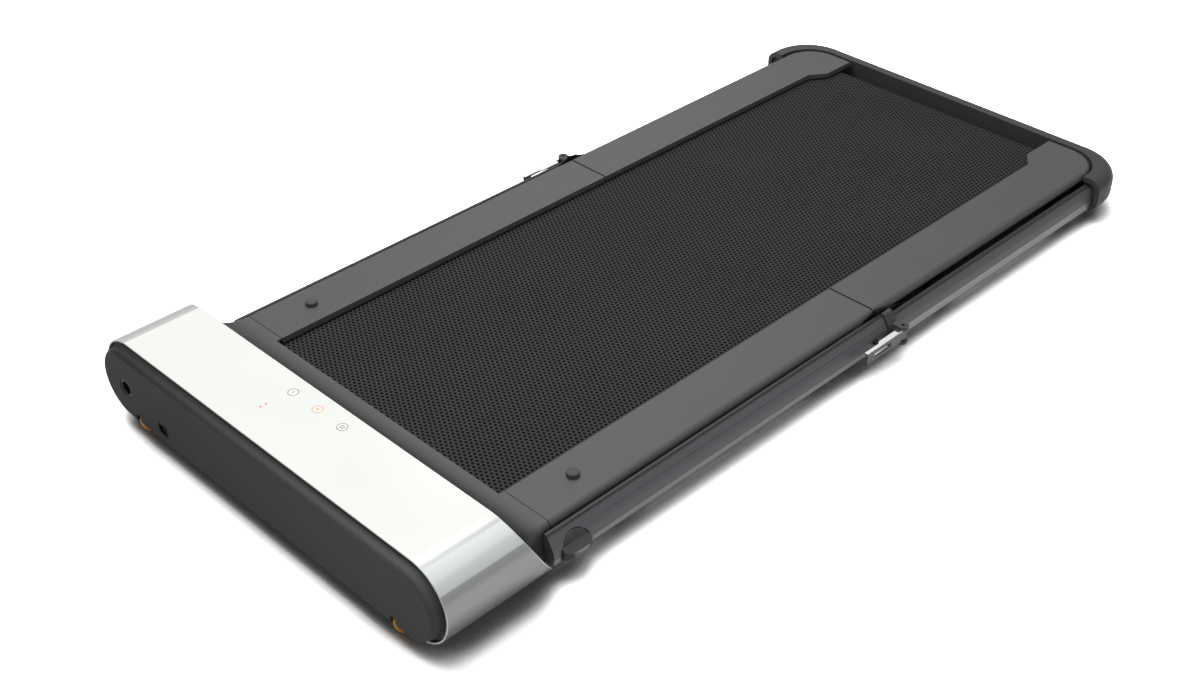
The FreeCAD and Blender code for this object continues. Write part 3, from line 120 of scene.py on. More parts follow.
# Half of a wheel's outline, as (x, radius) points from the hub to the tyre
WHEEL_HALF = [
    (0.0, 3.05), (3.9, 3.05), (3.9, 7.0), (3.3, 7.6), (2.2, 8.2), (2.0, 15.5),
    (2.6, 16.3), (3.7, 17.0), (4.0, 18.0), (3.9, 20.6), (3.2, 21.5), (2.2, 21.9),
    (1.6, 21.9), (1.4, 21.3), (1.0, 21.3), (0.8, 22.0),
]
# Outlines of upright pieces, as (height, radius) points from the foot to the top
LATCH_PIN = [(33.0, 0.0), (33.0, 1.9), (33.6, 2.5), (53.2, 2.5), (54.0, 1.8), (53.8, 0.0)]
BUMPER = [
    (71.9, 0.0), (71.9, 4.0), (75.0, 4.0), (75.0, 8.2), (75.4, 8.5),
    (79.6, 8.4), (80.6, 8.0), (81.2, 7.2), (81.5, 6.0), (81.5, 0.0),
]


class Value:
    """A number that changes over a surface. Arithmetic on it adds Math nodes to its finish."""

    def __init__(self, finish, socket):
        self.finish = finish
        self.socket = socket

    def maths(self, operation, *terms):
        return self.finish.add("Math", {"operation": operation}, dict(enumerate(terms)))

    def __add__(self, other):
        return self.maths("ADD", self, other)

    __radd__ = __add__

    def __sub__(self, other):
        return self.maths("SUBTRACT", self, other)

    def __rsub__(self, other):
        return self.maths("SUBTRACT", other, self)

    def __mul__(self, other):
        return self.maths("MULTIPLY", self, other)

    __rmul__ = __mul__

    def size(self):
        return self.maths("ABSOLUTE", self)

    def root(self):
        return self.maths("SQRT", self)

    def wrap(self, span):
        """This value brought into the range from minus half to plus half of a span."""
        return self.maths("WRAP", self, span / 2, -span / 2)

    def lower(self, other):
        return self.maths("MINIMUM", self, other)

    def higher(self, other):
        return self.maths("MAXIMUM", self, other)

    def rise(self, low, high):
        """0 below low and 1 above high, with a soft rise between them."""
        settings = {"interpolation_type": "SMOOTHSTEP"}
        values = {"Value": self, "From Min": low, "From Max": high}
        return self.finish.add("MapRange", settings, values, "Result")

    def fall(self, low, high):
        """1 below low and 0 above high."""
        return 1 - self.rise(low, high)


class Finish:
    """A material: one Principled shader, with constants on sockets and node maths for what changes."""

    def __init__(self, name, **constants):
        self.material = bpy.data.materials.new(name)
        self.material.use_nodes = True
        self.tree = self.material.node_tree
        self.shader = self.tree.nodes["Principled BSDF"]
        for socket, value in constants.items():
            self.set(socket.replace("_", " ").title().replace("Ior", "IOR"), value)

    def add(self, kind, settings, values, out=0):
        """A new node with its settings, then its sockets' values or links; gives one of its outputs."""
        node = self.tree.nodes.new("ShaderNode" + kind)
        for name, value in settings.items():
            setattr(node, name, value)
        for key, value in values.items():
            self.feed(node.inputs[key], value)
        return Value(self, node.outputs[out])

    def feed(self, socket, value):
        if isinstance(value, Value):
            self.tree.links.new(value.socket, socket)
        elif socket.type == "RGBA":
            socket.default_value = tuple(value) + (1.0,)
        else:
            socket.default_value = value

    def set(self, name, value):
        self.feed(self.shader.inputs[name], value)

    def place(self):
        """Object coordinates."""
        return self.add("TexCoord", {}, {}, "Object")

    def split(self, vector):
        """The three parts of a vector."""
        node = self.add("SeparateXYZ", {}, {0: vector}).socket.node
        return [Value(self, output) for output in node.outputs]

    def axes(self):
        """Object coordinates in millimetres, with Y from the fold."""
        x, y, z = self.split(self.place())
        return x * (1 / MM), y * (1 / MM) - FOLD_Y, z * (1 / MM)

    def stretched(self, along):
        """Object coordinates drawn out: a small number makes long marks that way."""
        return self.add("VectorMath", {"operation": "MULTIPLY"}, {0: self.place(), 1: along})

    def noise(self, scale, detail=2.0, roughness=0.5, vector=None):
        values = {"Scale": scale, "Detail": detail, "Roughness": roughness}
        values["Vector"] = vector or self.place()
        return self.add("TexNoise", {}, values, "Fac")

    def mix(self, factor, first, second):
        """A colour between two colours."""
        return self.add("Mix", {"data_type": "RGBA"}, {0: factor, 6: first, 7: second}, 2)

    def paint(self, mask, tint):
        """Lays a colour over the base colour where a mask is 1."""
        below = Value(self, self.shader.inputs["Base Color"].links[0].from_socket)
        self.set("Base Color", self.mix(mask, below, tint))

    def bump(self, height, depth):
        """Raises the surface by height, where 1 is a depth in millimetres."""
        values = {"Strength": 1.0, "Distance": depth * MM, "Height": height}
        self.set("Normal", self.add("Bump", {}, values, "Normal"))


def colour(red, green, blue):
    """A linear colour from 8-bit screen tones."""
    levels = [tone / 255 for tone in (red, green, blue)]
    return tuple(v / 12.92 if v <= 0.04045 else ((v + 0.055) / 1.055) ** 2.4 for v in levels)


def grey(level):
    return (level, level, level)


def darker(tint, share):
    return tuple(channel * (1 - share) for channel in tint)


def distance(u, v):
    """How far a point lies from a centre, from its two offsets."""
    return (u * u + v * v).root()


def moulded(name, tone, roughness, grain=900.0, depth=0.02, spread=0.07, gloss=0.3):
    """Moulded plastic: a fine spark-eroded grain, with a slight unevenness of tone and gloss."""
    finish = Finish(name, specular_ior_level=gloss)
    fine = finish.noise(grain, 3.0, 0.6)
    cloud = finish.noise(11.0, 3.0)
    tint = colour(*tone)
    finish.set("Base Color", finish.mix(0.6 * cloud + 0.4 * fine, darker(tint, 2 * spread), tint))
    finish.set("Roughness", roughness + 0.12 * (fine - 0.5) + 0.08 * (cloud - 0.5))
    finish.bump(fine, depth)
    return finish


def metal(name, tone, roughness, along):
    """Bare metal with drawn-out brush marks: the small number in along is the way they run."""
    finish = Finish(name, metallic=1.0)
    marks = finish.noise(1400.0, 3.0, 0.6, finish.stretched(along))
    cloud = finish.noise(30.0, 2.0)
    tint = colour(*tone)
    finish.set("Base Color", finish.mix(0.6 * marks + 0.4 * cloud, darker(tint, 0.12), tint))
    finish.set("Roughness", roughness + 0.12 * (marks - 0.5) + 0.06 * (cloud - 0.5))
    finish.bump(marks, 0.008)
    return finish


def console_lacquer():
    """Pearl-white lacquer, two small red lamps in its top, silver ends with painted light and shade,
    painted light rims.
    """
    finish = Finish("console_lacquer", coat_weight=0.25, coat_roughness=0.12)
    x, y, z = finish.axes()
    pearl = finish.noise(2600.0, 2.0, 0.6)
    cloud = finish.noise(7.0, 2.0)
    lamps = distance(x - LAMP_X, (y - LAMP_Y).size() - LAMP_HALF_GAP).fall(1.0, 1.9)
    lamps = lamps * z.rise(CONSOLE_TOP - 0.5, CONSOLE_TOP - 0.1)
    # The silver starts further out on the near end than on the far end, where the painted highlight keeps
    # the curve white.
    near_end = x.rise(CONSOLE_END_X + 13.0, CONSOLE_END_X + 15.5)
    far_end = x.fall(-CONSOLE_END_X - 6.0, -CONSOLE_END_X - 1.5)
    ends = near_end.higher(far_end)
    # A painted shade line on the near end, where the white gives way to the silver.
    line = near_end * x.fall(CONSOLE_END_X + 18.0, CONSOLE_END_X + 23.0)
    # Painted highlights: a light edge along the rear rim and along the front rim.
    rear_edge_highlight = distance(y - RIM_Y, z - RIM_Z).fall(RIM_RADIUS + 0.9, RIM_RADIUS + 1.4)
    rim = y.fall(CONSOLE_FRONT + 0.5, CONSOLE_FRONT + 1.0).higher(rear_edge_highlight)
    white = finish.mix(0.5 * pearl + 0.5 * cloud, *[colour(*tone) for tone in WHITE])
    # Painted light on the silver ends: a painted highlight near the top, and painted shade that grows
    # towards the bottom.
    band = z.rise(HIGHLIGHT_BAND_FOOT, HIGHLIGHT_BAND_FOOT + 2.5)
    silver = finish.mix(z.rise(10.0, 108.0), colour(92, 95, 94), colour(186, 189, 188))
    silver = finish.mix(band, silver, colour(240, 244, 243))
    silver = finish.mix(0.6 * line, silver, colour(165, 168, 166))
    # Painted shade on the far end: lighter next to the white, darker towards its outer side.
    far_end_painted_shade = finish.mix(x.rise(-312.0, -289.0), colour(150, 153, 151), colour(214, 217, 214))
    silver = finish.mix(far_end, silver, far_end_painted_shade)
    silver = finish.mix(rim, silver, colour(225, 227, 224))
    finish.set("Base Color", finish.mix(lamps, finish.mix(ends, white, silver), colour(250, 86, 104)))
    finish.set("Roughness", 0.24 + 0.08 * (cloud - 0.5))
    # The metal look fades towards the top of the near end, under the painted highlight.
    metallic = 0.06 + near_end * (0.39 - 0.33 * z.rise(78.0, 106.0))
    finish.set("Metallic", metallic + 0.1 * far_end - 0.06 * lamps)
    finish.bump(pearl, 0.0015)
    return finish


def key_print():
    """Touch keys flush with the console: a printed ring and a plain sign on each."""
    finish = Finish("key_print", coat_weight=0.25, coat_roughness=0.12)
    x, y = finish.axes()[:2]
    across = x.wrap(KEY_PITCH)
    along = y - KEY_Y
    away = distance(across, along)
    ring = (away - (KEY_RADIUS - 0.8)).size().fall(0.35, 0.75)
    middle = x.size().fall(20.0, 21.0)
    left = x.rise(20.0, 21.0)
    right = 1 - middle - left
    bar = across.size().fall(0.7, 1.0) * along.size().fall(2.0, 2.4)
    dot = away.fall(1.5, 2.0)
    frame_size = across.size().higher(along.size())
    square = (frame_size - 2.1).size().fall(0.4, 0.8)
    sign = bar * right + dot * middle + square * left
    print_mask = ring.higher(sign)
    pearl = finish.noise(2600.0, 2.0, 0.6)
    white = finish.mix(pearl, *[colour(*tone) for tone in WHITE])
    ink = finish.mix(middle, colour(150, 152, 150), colour(255, 170, 96))
    finish.set("Base Color", finish.mix(print_mask, white, ink))
    finish.set("Roughness", 0.28 + 0.15 * print_mask + 0.05 * (pearl - 0.5))
    return finish


def belt_weave():
    """Rubber belt, a honeycomb of round dimples with painted shade in them; its map runs across and along
    it in metres.
    """
    finish = Finish("belt_dimples", specular_ior_level=0.05)
    place = finish.add("UVMap", {"uv_map": "belt"}, {})
    across, along = [part * (1 / MM) for part in finish.split(place)[:2]]
    column = DIMPLE_PITCH * math.sqrt(3) / 2
    distances = []
    for shift in (0.0, 0.5):
        u = (across - 2 * column * shift).wrap(2 * column)
        v = (along - DIMPLE_PITCH * shift).wrap(DIMPLE_PITCH)
        distances.append(distance(u, v))
    dimple_and_painted_shade = distances[0].lower(distances[1]).fall(DIMPLE_RADIUS, DIMPLE_RADIUS + 0.8)
    grain = finish.noise(1500.0, 3.0, 0.6)
    cloud = finish.noise(9.0, 3.0)
    land = finish.mix(0.5 * grain + 0.5 * cloud, colour(57, 57, 58), colour(70, 70, 71))
    # Painted shade: the dimples are painted near-black.
    finish.set("Base Color", finish.mix(dimple_and_painted_shade, land, colour(15, 15, 16)))
    finish.set("Roughness", 0.58 + 0.25 * dimple_and_painted_shade + 0.15 * (grain - 0.5))
    finish.bump(0.9 * (1 - dimple_and_painted_shade) + 0.1 * grain, 0.45)
    return finish


def two_tone_beam(name, strip_tone, top):
    """Dark anodised extrusion: lengthwise die lines, painted shade along the top edge and a bare lower
    strip.
    """
    finish = Finish(name)
    z = finish.axes()[2]
    lines = finish.noise(900.0, 2.0, 0.6, finish.stretched((1.0, 0.004, 1.0)))
    cloud = finish.noise(8.0, 2.0)
    strip = z.fall(STRIP_TOP - 0.15, STRIP_TOP + 0.05)
    dark = colour(109, 111, 114)
    body = finish.mix(0.6 * lines + 0.4 * cloud, darker(dark, 0.16), dark)
    # Painted shade: the top edge, lit most by the lamp overhead, is painted darker.
    body = finish.mix(z.rise(top - 4.0, top - 0.8), body, colour(56, 56, 58))
    bare = finish.mix(lines, darker(colour(*strip_tone), 0.10), colour(*strip_tone))
    finish.set("Base Color", finish.mix(strip, body, bare))
    finish.set("Metallic", 0.15 + 0.35 * strip)
    finish.set("Roughness", 0.40 + 0.10 * (lines - 0.5) + 0.06 * (cloud - 0.5))
    finish.bump(lines, 0.006)
    return finish


def seamed(name, tone, roughness, seam, side):
    """Moulded plastic with a dark line painted in the joint with its neighbour, to one side of the seam:
    shade and dirt.
    """
    finish = moulded(name, tone, roughness)
    y = finish.axes()[1]
    # Painted shade and dirt: a dark line in the seam's groove.
    finish.paint((side * (y - seam)).rise(-0.9, -0.3), colour(18, 18, 19))
    return finish


def cover_plastic():
    """The rail's plastic, with painted shade towards the console where it dips under the rim."""
    finish = seamed("cover_fine_grain", RAIL_GREY, 0.44, COVER_SEAM, 1)
    y = finish.axes()[1]
    # Painted shade under the console's rim.
    finish.paint(0.95 * y.fall(COVER_SEAM - 59.0, COVER_SEAM - 2.0), colour(26, 26, 27))
    return finish


def cap_plastic():
    """Fine-grained grey plastic, painted lighter towards the near end and in the shaded groove behind the
    face.
    """
    finish = Finish("cap_fine_grain", specular_ior_level=0.05)
    x, y = finish.axes()[:2]
    fine = finish.noise(1000.0, 3.0, 0.6)
    cloud = finish.noise(9.0, 3.0)
    # Painted light in the groove behind the face, which lies in shade under the console's front rim.
    groove = y.rise(CAP_FACE + 11.0, CAP_FACE + 15.0)
    # Painted light and shade along the cap: darker at the far end, lighter at the near end.
    tone = finish.mix(x.rise(-400.0, 400.0), colour(60, 60, 61), colour(93, 93, 94))
    face = finish.mix(0.15 * cloud + 0.1 * fine, tone, colour(40, 40, 41))
    finish.set("Base Color", finish.mix(groove, face, colour(104, 104, 105)))
    finish.set("Roughness", 0.44 + 0.12 * (fine - 0.5) + 0.08 * (cloud - 0.5))
    finish.bump(fine, 0.02)
    return finish


def hasp_steel():
    """Brushed sheet steel, with a painted highlight on the bent top flange and on the tongue behind the
    window.
    """
    finish = metal("hasp_steel", (104, 107, 105), 0.30, (1.0, 0.05, 1.0))
    x, _, z = finish.axes()
    tongue = x.size().fall(PIN_X + 2.2, PIN_X + 2.4) * z.rise(40.6, 40.9) * z.fall(41.1, 41.4)
    # Painted highlight: the flange top and the tongue are painted near-white and less metallic.
    painted_highlight = z.rise(HASP_FLANGE, HASP_FLANGE + 0.3).higher(tongue)
    finish.paint(painted_highlight, colour(249, 252, 246))
    finish.set("Metallic", 1 - 0.6 * painted_highlight)
    return finish


def pedal_plastic():
    """Dark plastic with fine grip ribs across the tread, and painted light on its outer lip."""
    finish = Finish("pedal_ribbed", specular_ior_level=0.3)
    x, _, z = finish.axes()
    out = x.size()
    fine = finish.noise(900.0, 3.0, 0.6)
    ribs = out.wrap(2.4).size().rise(0.5, 0.8)
    tread = z.fall(45.5, 47.0) * z.rise(40.0, 40.6)
    tread = tread * out.rise(PEDAL_TREAD, PEDAL_TREAD + 1.0) * out.fall(PEDAL_LIP, PEDAL_LIP + 1.0)
    # Painted light: the outer lip is painted lighter, as if lit from the side.
    lip = out.rise(PEDAL_LIP, PEDAL_LIP + 1.5)
    body = finish.mix(fine, colour(66, 66, 67), colour(76, 76, 77))
    finish.set("Base Color", finish.mix(lip, body, colour(128, 128, 129)))
    finish.set("Roughness", 0.42 + 0.12 * (fine - 0.5) + 0.10 * tread)
    finish.bump(0.05 * fine + ribs * tread, 0.3)
    return finish


def inlet_plastic():
    """Black socket moulding with plated contact pins."""
    finish = Finish("inlet_and_pins")
    x, y, z = finish.axes()
    spots = []
    for number in range(INLET_PINS):
        turn = 2 * math.pi * number / INLET_PINS + math.pi / 2
        u = x - INLET_X - INLET_PIN_CIRCLE * math.cos(turn)
        v = z - INLET_Z - INLET_PIN_CIRCLE * math.sin(turn)
        spots.append(distance(u, v).fall(1.65, 1.75))
    pin = functools.reduce(Value.higher, spots) * y.fall(-800.2, -800.1)
    fine = finish.noise(900.0, 3.0, 0.6)
    black = finish.mix(fine, colour(18, 18, 19), colour(30, 30, 31))
    finish.set("Base Color", finish.mix(pin, black, colour(225, 223, 216)))
    finish.set("Metallic", 0.6 * pin)
    finish.set("Roughness", 0.45 - 0.2 * pin + 0.1 * (fine - 0.5))
    finish.bump(fine, 0.015)
    return finish


def deck_laminate():
    """Phenolic-faced board: a dark face with fibres, and plies along its edges."""
    finish = Finish("deck_laminate")
    z = finish.axes()[2]
    fibre = finish.noise(500.0, 4.0, 0.65, finish.stretched((1.0, 0.06, 1.0)))
    plies = (z - DECK_FOOT).wrap(3.0).size().rise(0.2, 0.7)
    edge = z.fall(DECK_TOP - 0.4, DECK_TOP - 0.1) * z.rise(DECK_FOOT + 0.1, DECK_FOOT + 0.4)
    face = finish.mix(fibre, colour(38, 32, 27), colour(56, 48, 40))
    ply = finish.mix(plies, colour(92, 70, 48), colour(150, 120, 86))
    finish.set("Base Color", finish.mix(edge, face, ply))
    finish.set("Roughness", 0.45 + 0.2 * edge + 0.1 * (fibre - 0.5))
    finish.bump(fibre, 0.02)
    return finish


def circuit_board():
    """Green solder mask with a grid of pads and fine tracks."""
    finish = Finish("circuit_board")
    u, v = [part.wrap(PAD_PITCH) for part in finish.axes()[:2]]
    pad = distance(u, v).fall(0.7, 0.9)
    track = u.size().fall(0.15, 0.3) * finish.noise(60.0, 1.0).rise(0.45, 0.5)
    mask = finish.mix(finish.noise(300.0), colour(14, 70, 36), colour(22, 92, 48))
    finish.set("Base Color", finish.mix(pad.higher(track * 0.4), mask, colour(205, 200, 180)))
    finish.set("Metallic", pad * 0.9)
    finish.set("Roughness", 0.38 + 0.1 * track)
    finish.bump(pad.higher(track), 0.05)
    return finish


FINISHES = {
    "console": console_lacquer(),
    "keys": key_print(),
    "belt": belt_weave(),
    "cap": cap_plastic(),
    "front_beam": two_tone_beam("beam_anodised", (152, 156, 153), BEAM_TOP),
    "rear_tube": two_tone_beam("tube_anodised", (170, 173, 170), TUBE_TOP),
    "pedal": pedal_plastic(),
    "inlet": inlet_plastic(),
    "board": deck_laminate(),
    "circuit": circuit_board(),
    "rail": seamed("rail_satin_grey", RAIL_GREY, 0.40, COVER_SEAM, -1),
    "cover": cover_plastic(),
    "bar": moulded("bar_satin_grey", (78, 78, 80), 0.40),
    "collar": moulded("collar_satin", (80, 80, 82), 0.42),
    "black": moulded("black_moulding", (26, 26, 27), 0.45),
    "switch": moulded("switch_black", (20, 20, 21), 0.5, gloss=0.05),
    "frame": moulded("black_powder_coat", (24, 24, 25), 0.5, 500.0, 0.04),
    "rubber": moulded("soft_rubber", (88, 88, 89), 0.7, 600.0, 0.03),
    "foot": moulded("foot_rubber", (30, 30, 30), 0.75, 600.0, 0.05),
    "orange": moulded("wheel_orange", (255, 178, 48), 0.38, 700.0, 0.03, 0.05),
    "hasp": hasp_steel(),
    "shaft": metal("turned_steel", (176, 176, 178), 0.3, (0.05, 1.0, 1.0)),
    "casing": metal("folded_casing", (170, 170, 172), 0.42, (1.0, 0.08, 1.0)),
}


def body_of(node):
    for body, members in frame["record"]["behaviour"]["bodies"].items():
        if node in members:
            return body


def finished(name, shape, finish, node, smooth=32, bends=False):
    """Puts a shape into the scene in place of a solid, with its finish, on its body unless it bends."""
    mesh = bpy.data.meshes.new(name)
    shape.to_mesh(mesh)
    shape.free()
    mesh.materials.append(FINISHES[finish].material)
    mesh.shade_smooth()
    mesh.set_sharp_from_angle(angle=math.radians(smooth))
    piece = bpy.data.objects.new(name, mesh)
    bpy.context.scene.collection.objects.link(piece)
    evened = piece.modifiers.new("even_shading", "WEIGHTED_NORMAL")
    evened.keep_sharp = True
    if not bends:
        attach(piece, body_of(node))
    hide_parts(node)
    return piece


def into_frame(shape):
    """Millimetres from the fold become metres in the shared frame."""
    bmesh.ops.translate(shape, verts=shape.verts, vec=(0, FOLD_Y, 0))
    bmesh.ops.scale(shape, verts=shape.verts, vec=(MM, MM, MM))


def soften(shape, offset, angle=28.0):
    """Bevels every edge sharper than an angle."""
    sharp = [e for e in shape.edges if e.is_manifold and e.calc_face_angle(0) > math.radians(angle)]
    bmesh.ops.bevel(shape, geom=sharp, offset=offset, offset_type="OFFSET", segments=2, profile=0.5,
                    affect="EDGES", material=-1, clamp_overlap=True)


def dressed(node, finish, bevel):
    """A copy of a solid with whole flat faces and softened edges."""
    shape = bmesh.new()
    shape.from_mesh(nodes[node].data)
    bmesh.ops.remove_doubles(shape, verts=shape.verts, dist=0.002 * MM)
    bmesh.ops.dissolve_limit(shape, angle_limit=math.radians(0.5), verts=shape.verts, edges=shape.edges)
    if bevel:
        soften(shape, bevel * MM)
    return finished(node + "_dressed", shape, finish, node)


def carved(shape, cutters):
    """A shape with other shapes cut out of it."""
    for cutter in cutters:
        things = []
        for name, part in (("body", shape), ("tool", cutter)):
            mesh = bpy.data.meshes.new(name)
            part.to_mesh(mesh)
            part.free()
            things.append(bpy.data.objects.new(name, mesh))
            bpy.context.scene.collection.objects.link(things[-1])
        cut = things[0].modifiers.new("cut", "BOOLEAN")
        cut.operation = "DIFFERENCE"
        cut.object = things[1]
        done = things[0].evaluated_get(bpy.context.evaluated_depsgraph_get())
        mesh = bpy.data.meshes.new_from_object(done)
        shape = bmesh.new()
        shape.from_mesh(mesh)
        for thing in things:
            bpy.data.meshes.remove(thing.data)
        bpy.data.meshes.remove(mesh)
    return shape


def block(x, y, z):
    """A box between two limits on each axis."""
    shape = bmesh.new()
    limits = [x, y, z]
    middle = Vector([(low + high) / 2 for low, high in limits])
    span = [high - low for low, high in limits]
    bmesh.ops.create_cube(shape, size=1.0)
    bmesh.ops.scale(shape, verts=shape.verts, vec=span)
    bmesh.ops.translate(shape, verts=shape.verts, vec=middle)
    return shape


def extruded(shape):
    """Draws a second ring of points out of a ring of edges, and gives the new points."""
    grown = bmesh.ops.extrude_edge_only(shape, edges=shape.edges[:])["geom"]
    return [part for part in grown if isinstance(part, bmesh.types.BMVert)]


def console_section(shape):
    """A ring of edges round the console's front: a circle pulled apart into two half circles."""
    upright = Matrix.Rotation(math.pi / 2, 4, "X") @ Matrix.Rotation(math.pi / CONSOLE_STEPS, 4, "Z")
    circle = bmesh.ops.create_circle(shape, segments=CONSOLE_STEPS, radius=CONSOLE_RADIUS, matrix=upright)
    for vertex in circle["verts"]:
        vertex.co.x += math.copysign(CONSOLE_END_X, vertex.co.x)
    bmesh.ops.translate(shape, verts=circle["verts"], vec=(0, CONSOLE_FRONT, CONSOLE_Z))


def console_sleeve():
    """The console's sleeve, with its hollow-curved rear rim, the wheels' slots and the keys' pockets."""
    shape = bmesh.new()
    console_section(shape)
    for vertex in extruded(shape):
        rise = vertex.co.z - RIM_Z
        vertex.co.y = RIM_Y - math.sqrt(RIM_RADIUS ** 2 - rise ** 2)
    bmesh.ops.recalc_face_normals(shape, faces=shape.faces)
    bmesh.ops.solidify(shape, geom=shape.faces[:], thickness=SHELL_WALL)
    soften(shape, 0.5, 50.0)
    cutters = []
    for side in SIDES.values():
        x = sorted((side * (WHEEL_X - WHEEL_SLOT_HALF), side * (WHEEL_X + WHEEL_SLOT_HALF)))
        cutters.append(block(x, (CAP_FACE, WHEEL_Y + WHEEL_SLOT_REACH), (0.0, CONSOLE_Z)))
    pockets = bmesh.new()
    radius = KEY_RADIUS + KEY_GAP
    for step in (-1, 0, 1):
        place = Matrix.Translation((step * KEY_PITCH, KEY_Y, CONSOLE_TOP))
        bmesh.ops.create_cone(pockets, cap_ends=True, segments=64, radius1=radius, radius2=radius,
                              depth=KEY_POCKET, matrix=place)
    shape = carved(shape, cutters + [pockets])
    into_frame(shape)
    return finished("console_sleeve", shape, "console", "console_shell")


def belt_path(y, z, middle):
    """How far along the belt a point lies, on the run that holds the middle of its face."""
    if middle.y > REAR_ROLLER_Y:
        return REAR_ROLLER_Y + BELT_RADIUS * math.atan2(y - REAR_ROLLER_Y, z - ROLLER_Z)
    if middle.y < FRONT_ROLLER_Y:
        return FRONT_ROLLER_Y - BELT_RADIUS * math.atan2(FRONT_ROLLER_Y - y, z - ROLLER_Z)
    if middle.z > ROLLER_Z:
        return y
    return 2 * REAR_ROLLER_Y + BELT_RADIUS * math.pi - y


def walking_belt():
    """The endless belt, divided finely where it bends at the fold."""
    shape = bmesh.new()
    upright = Matrix.Rotation(math.pi / 2, 4, "Y") @ Matrix.Rotation(math.pi / BELT_STEPS, 4, "Z")
    circle = bmesh.ops.create_circle(shape, segments=BELT_STEPS, radius=BELT_RADIUS, matrix=upright)
    for vertex in circle["verts"]:
        vertex.co.y += REAR_ROLLER_Y if vertex.co.y > 0 else FRONT_ROLLER_Y
    bmesh.ops.translate(shape, verts=circle["verts"], vec=(-BELT_HALF, 0, ROLLER_Z))
    bmesh.ops.translate(shape, verts=extruded(shape), vec=(2 * BELT_HALF, 0, 0))
    for cut in FOLD_CUTS:
        everything = shape.verts[:] + shape.edges[:] + shape.faces[:]
        bmesh.ops.bisect_plane(shape, geom=everything, plane_co=(0, cut, 0), plane_no=(0, 1, 0))
    bmesh.ops.recalc_face_normals(shape, faces=shape.faces)
    bmesh.ops.solidify(shape, geom=shape.faces[:], thickness=BELT_WALL)
    pattern = shape.loops.layers.uv.new("belt")
    for face in shape.faces:
        middle = face.calc_center_median()
        for loop in face.loops:
            spot = loop.vert.co
            loop[pattern].uv = (spot.x * MM, belt_path(spot.y, spot.z, middle) * MM)
    into_frame(shape)
    piece = finished("walking_belt_dimpled", shape, "belt", "walking_belt", 60, True)
    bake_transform(piece)
    return piece


def turned(profile, steps):
    """A shape turned about the X axis from a profile of (x, radius) points."""
    shape = bmesh.new()
    points = [shape.verts.new((x, 0, radius)) for x, radius in profile]
    lines = [shape.edges.new(pair) for pair in zip(points, points[1:])]
    bmesh.ops.spin(shape, geom=points + lines, cent=(0, 0, 0), axis=(1, 0, 0), angle=2 * math.pi,
                   steps=steps, use_merge=True)
    bmesh.ops.remove_doubles(shape, verts=shape.verts, dist=0.001)
    bmesh.ops.recalc_face_normals(shape, faces=shape.faces)
    return shape


def wheel(side_name, side):
    """A transport wheel: a crowned tyre with two grooves, a dished web and a hub round the axle."""
    shape = turned(WHEEL_HALF + [(-x, radius) for x, radius in reversed(WHEEL_HALF)], 72)
    bmesh.ops.translate(shape, verts=shape.verts, vec=(side * WHEEL_X, WHEEL_Y, WHEEL_Z))
    into_frame(shape)
    return finished("wheel_tyre_" + side_name, shape, "orange", "wheel_" + side_name, 40)


def joined(shapes):
    """Several shapes as one."""
    whole = bmesh.new()
    for shape in shapes:
        mesh = bpy.data.meshes.new("part")
        shape.to_mesh(mesh)
        shape.free()
        whole.from_mesh(mesh)
        bpy.data.meshes.remove(mesh)
    return whole


def standing(profile, steps, x, y):
    """A shape turned about an upright axis at x and y."""
    shape = turned(profile, steps)
    quarter = Matrix.Rotation(-math.pi / 2, 3, "Y")
    bmesh.ops.rotate(shape, verts=shape.verts, cent=(0, 0, 0), matrix=quarter)
    bmesh.ops.translate(shape, verts=shape.verts, vec=(x, y, 0))
    return shape


def latch_pins():
    """The hasps' swing pins, sunk a little below the top ears."""
    shape = joined([standing(LATCH_PIN, 28, side * PIN_X, PIN_Y) for side in SIDES.values()])
    into_frame(shape)
    return finished("latch_pins_sunk", shape, "frame", "latch_pins")


def bumpers():
    """Rubber bumpers with rounded heads, standing on the rails."""
    shape = joined([standing(BUMPER, 48, side * BUMPER_X, BUMPER_Y) for side in SIDES.values()])
    into_frame(shape)
    return finished("rail_bumpers_domed", shape, "rubber", "rail_bumpers")


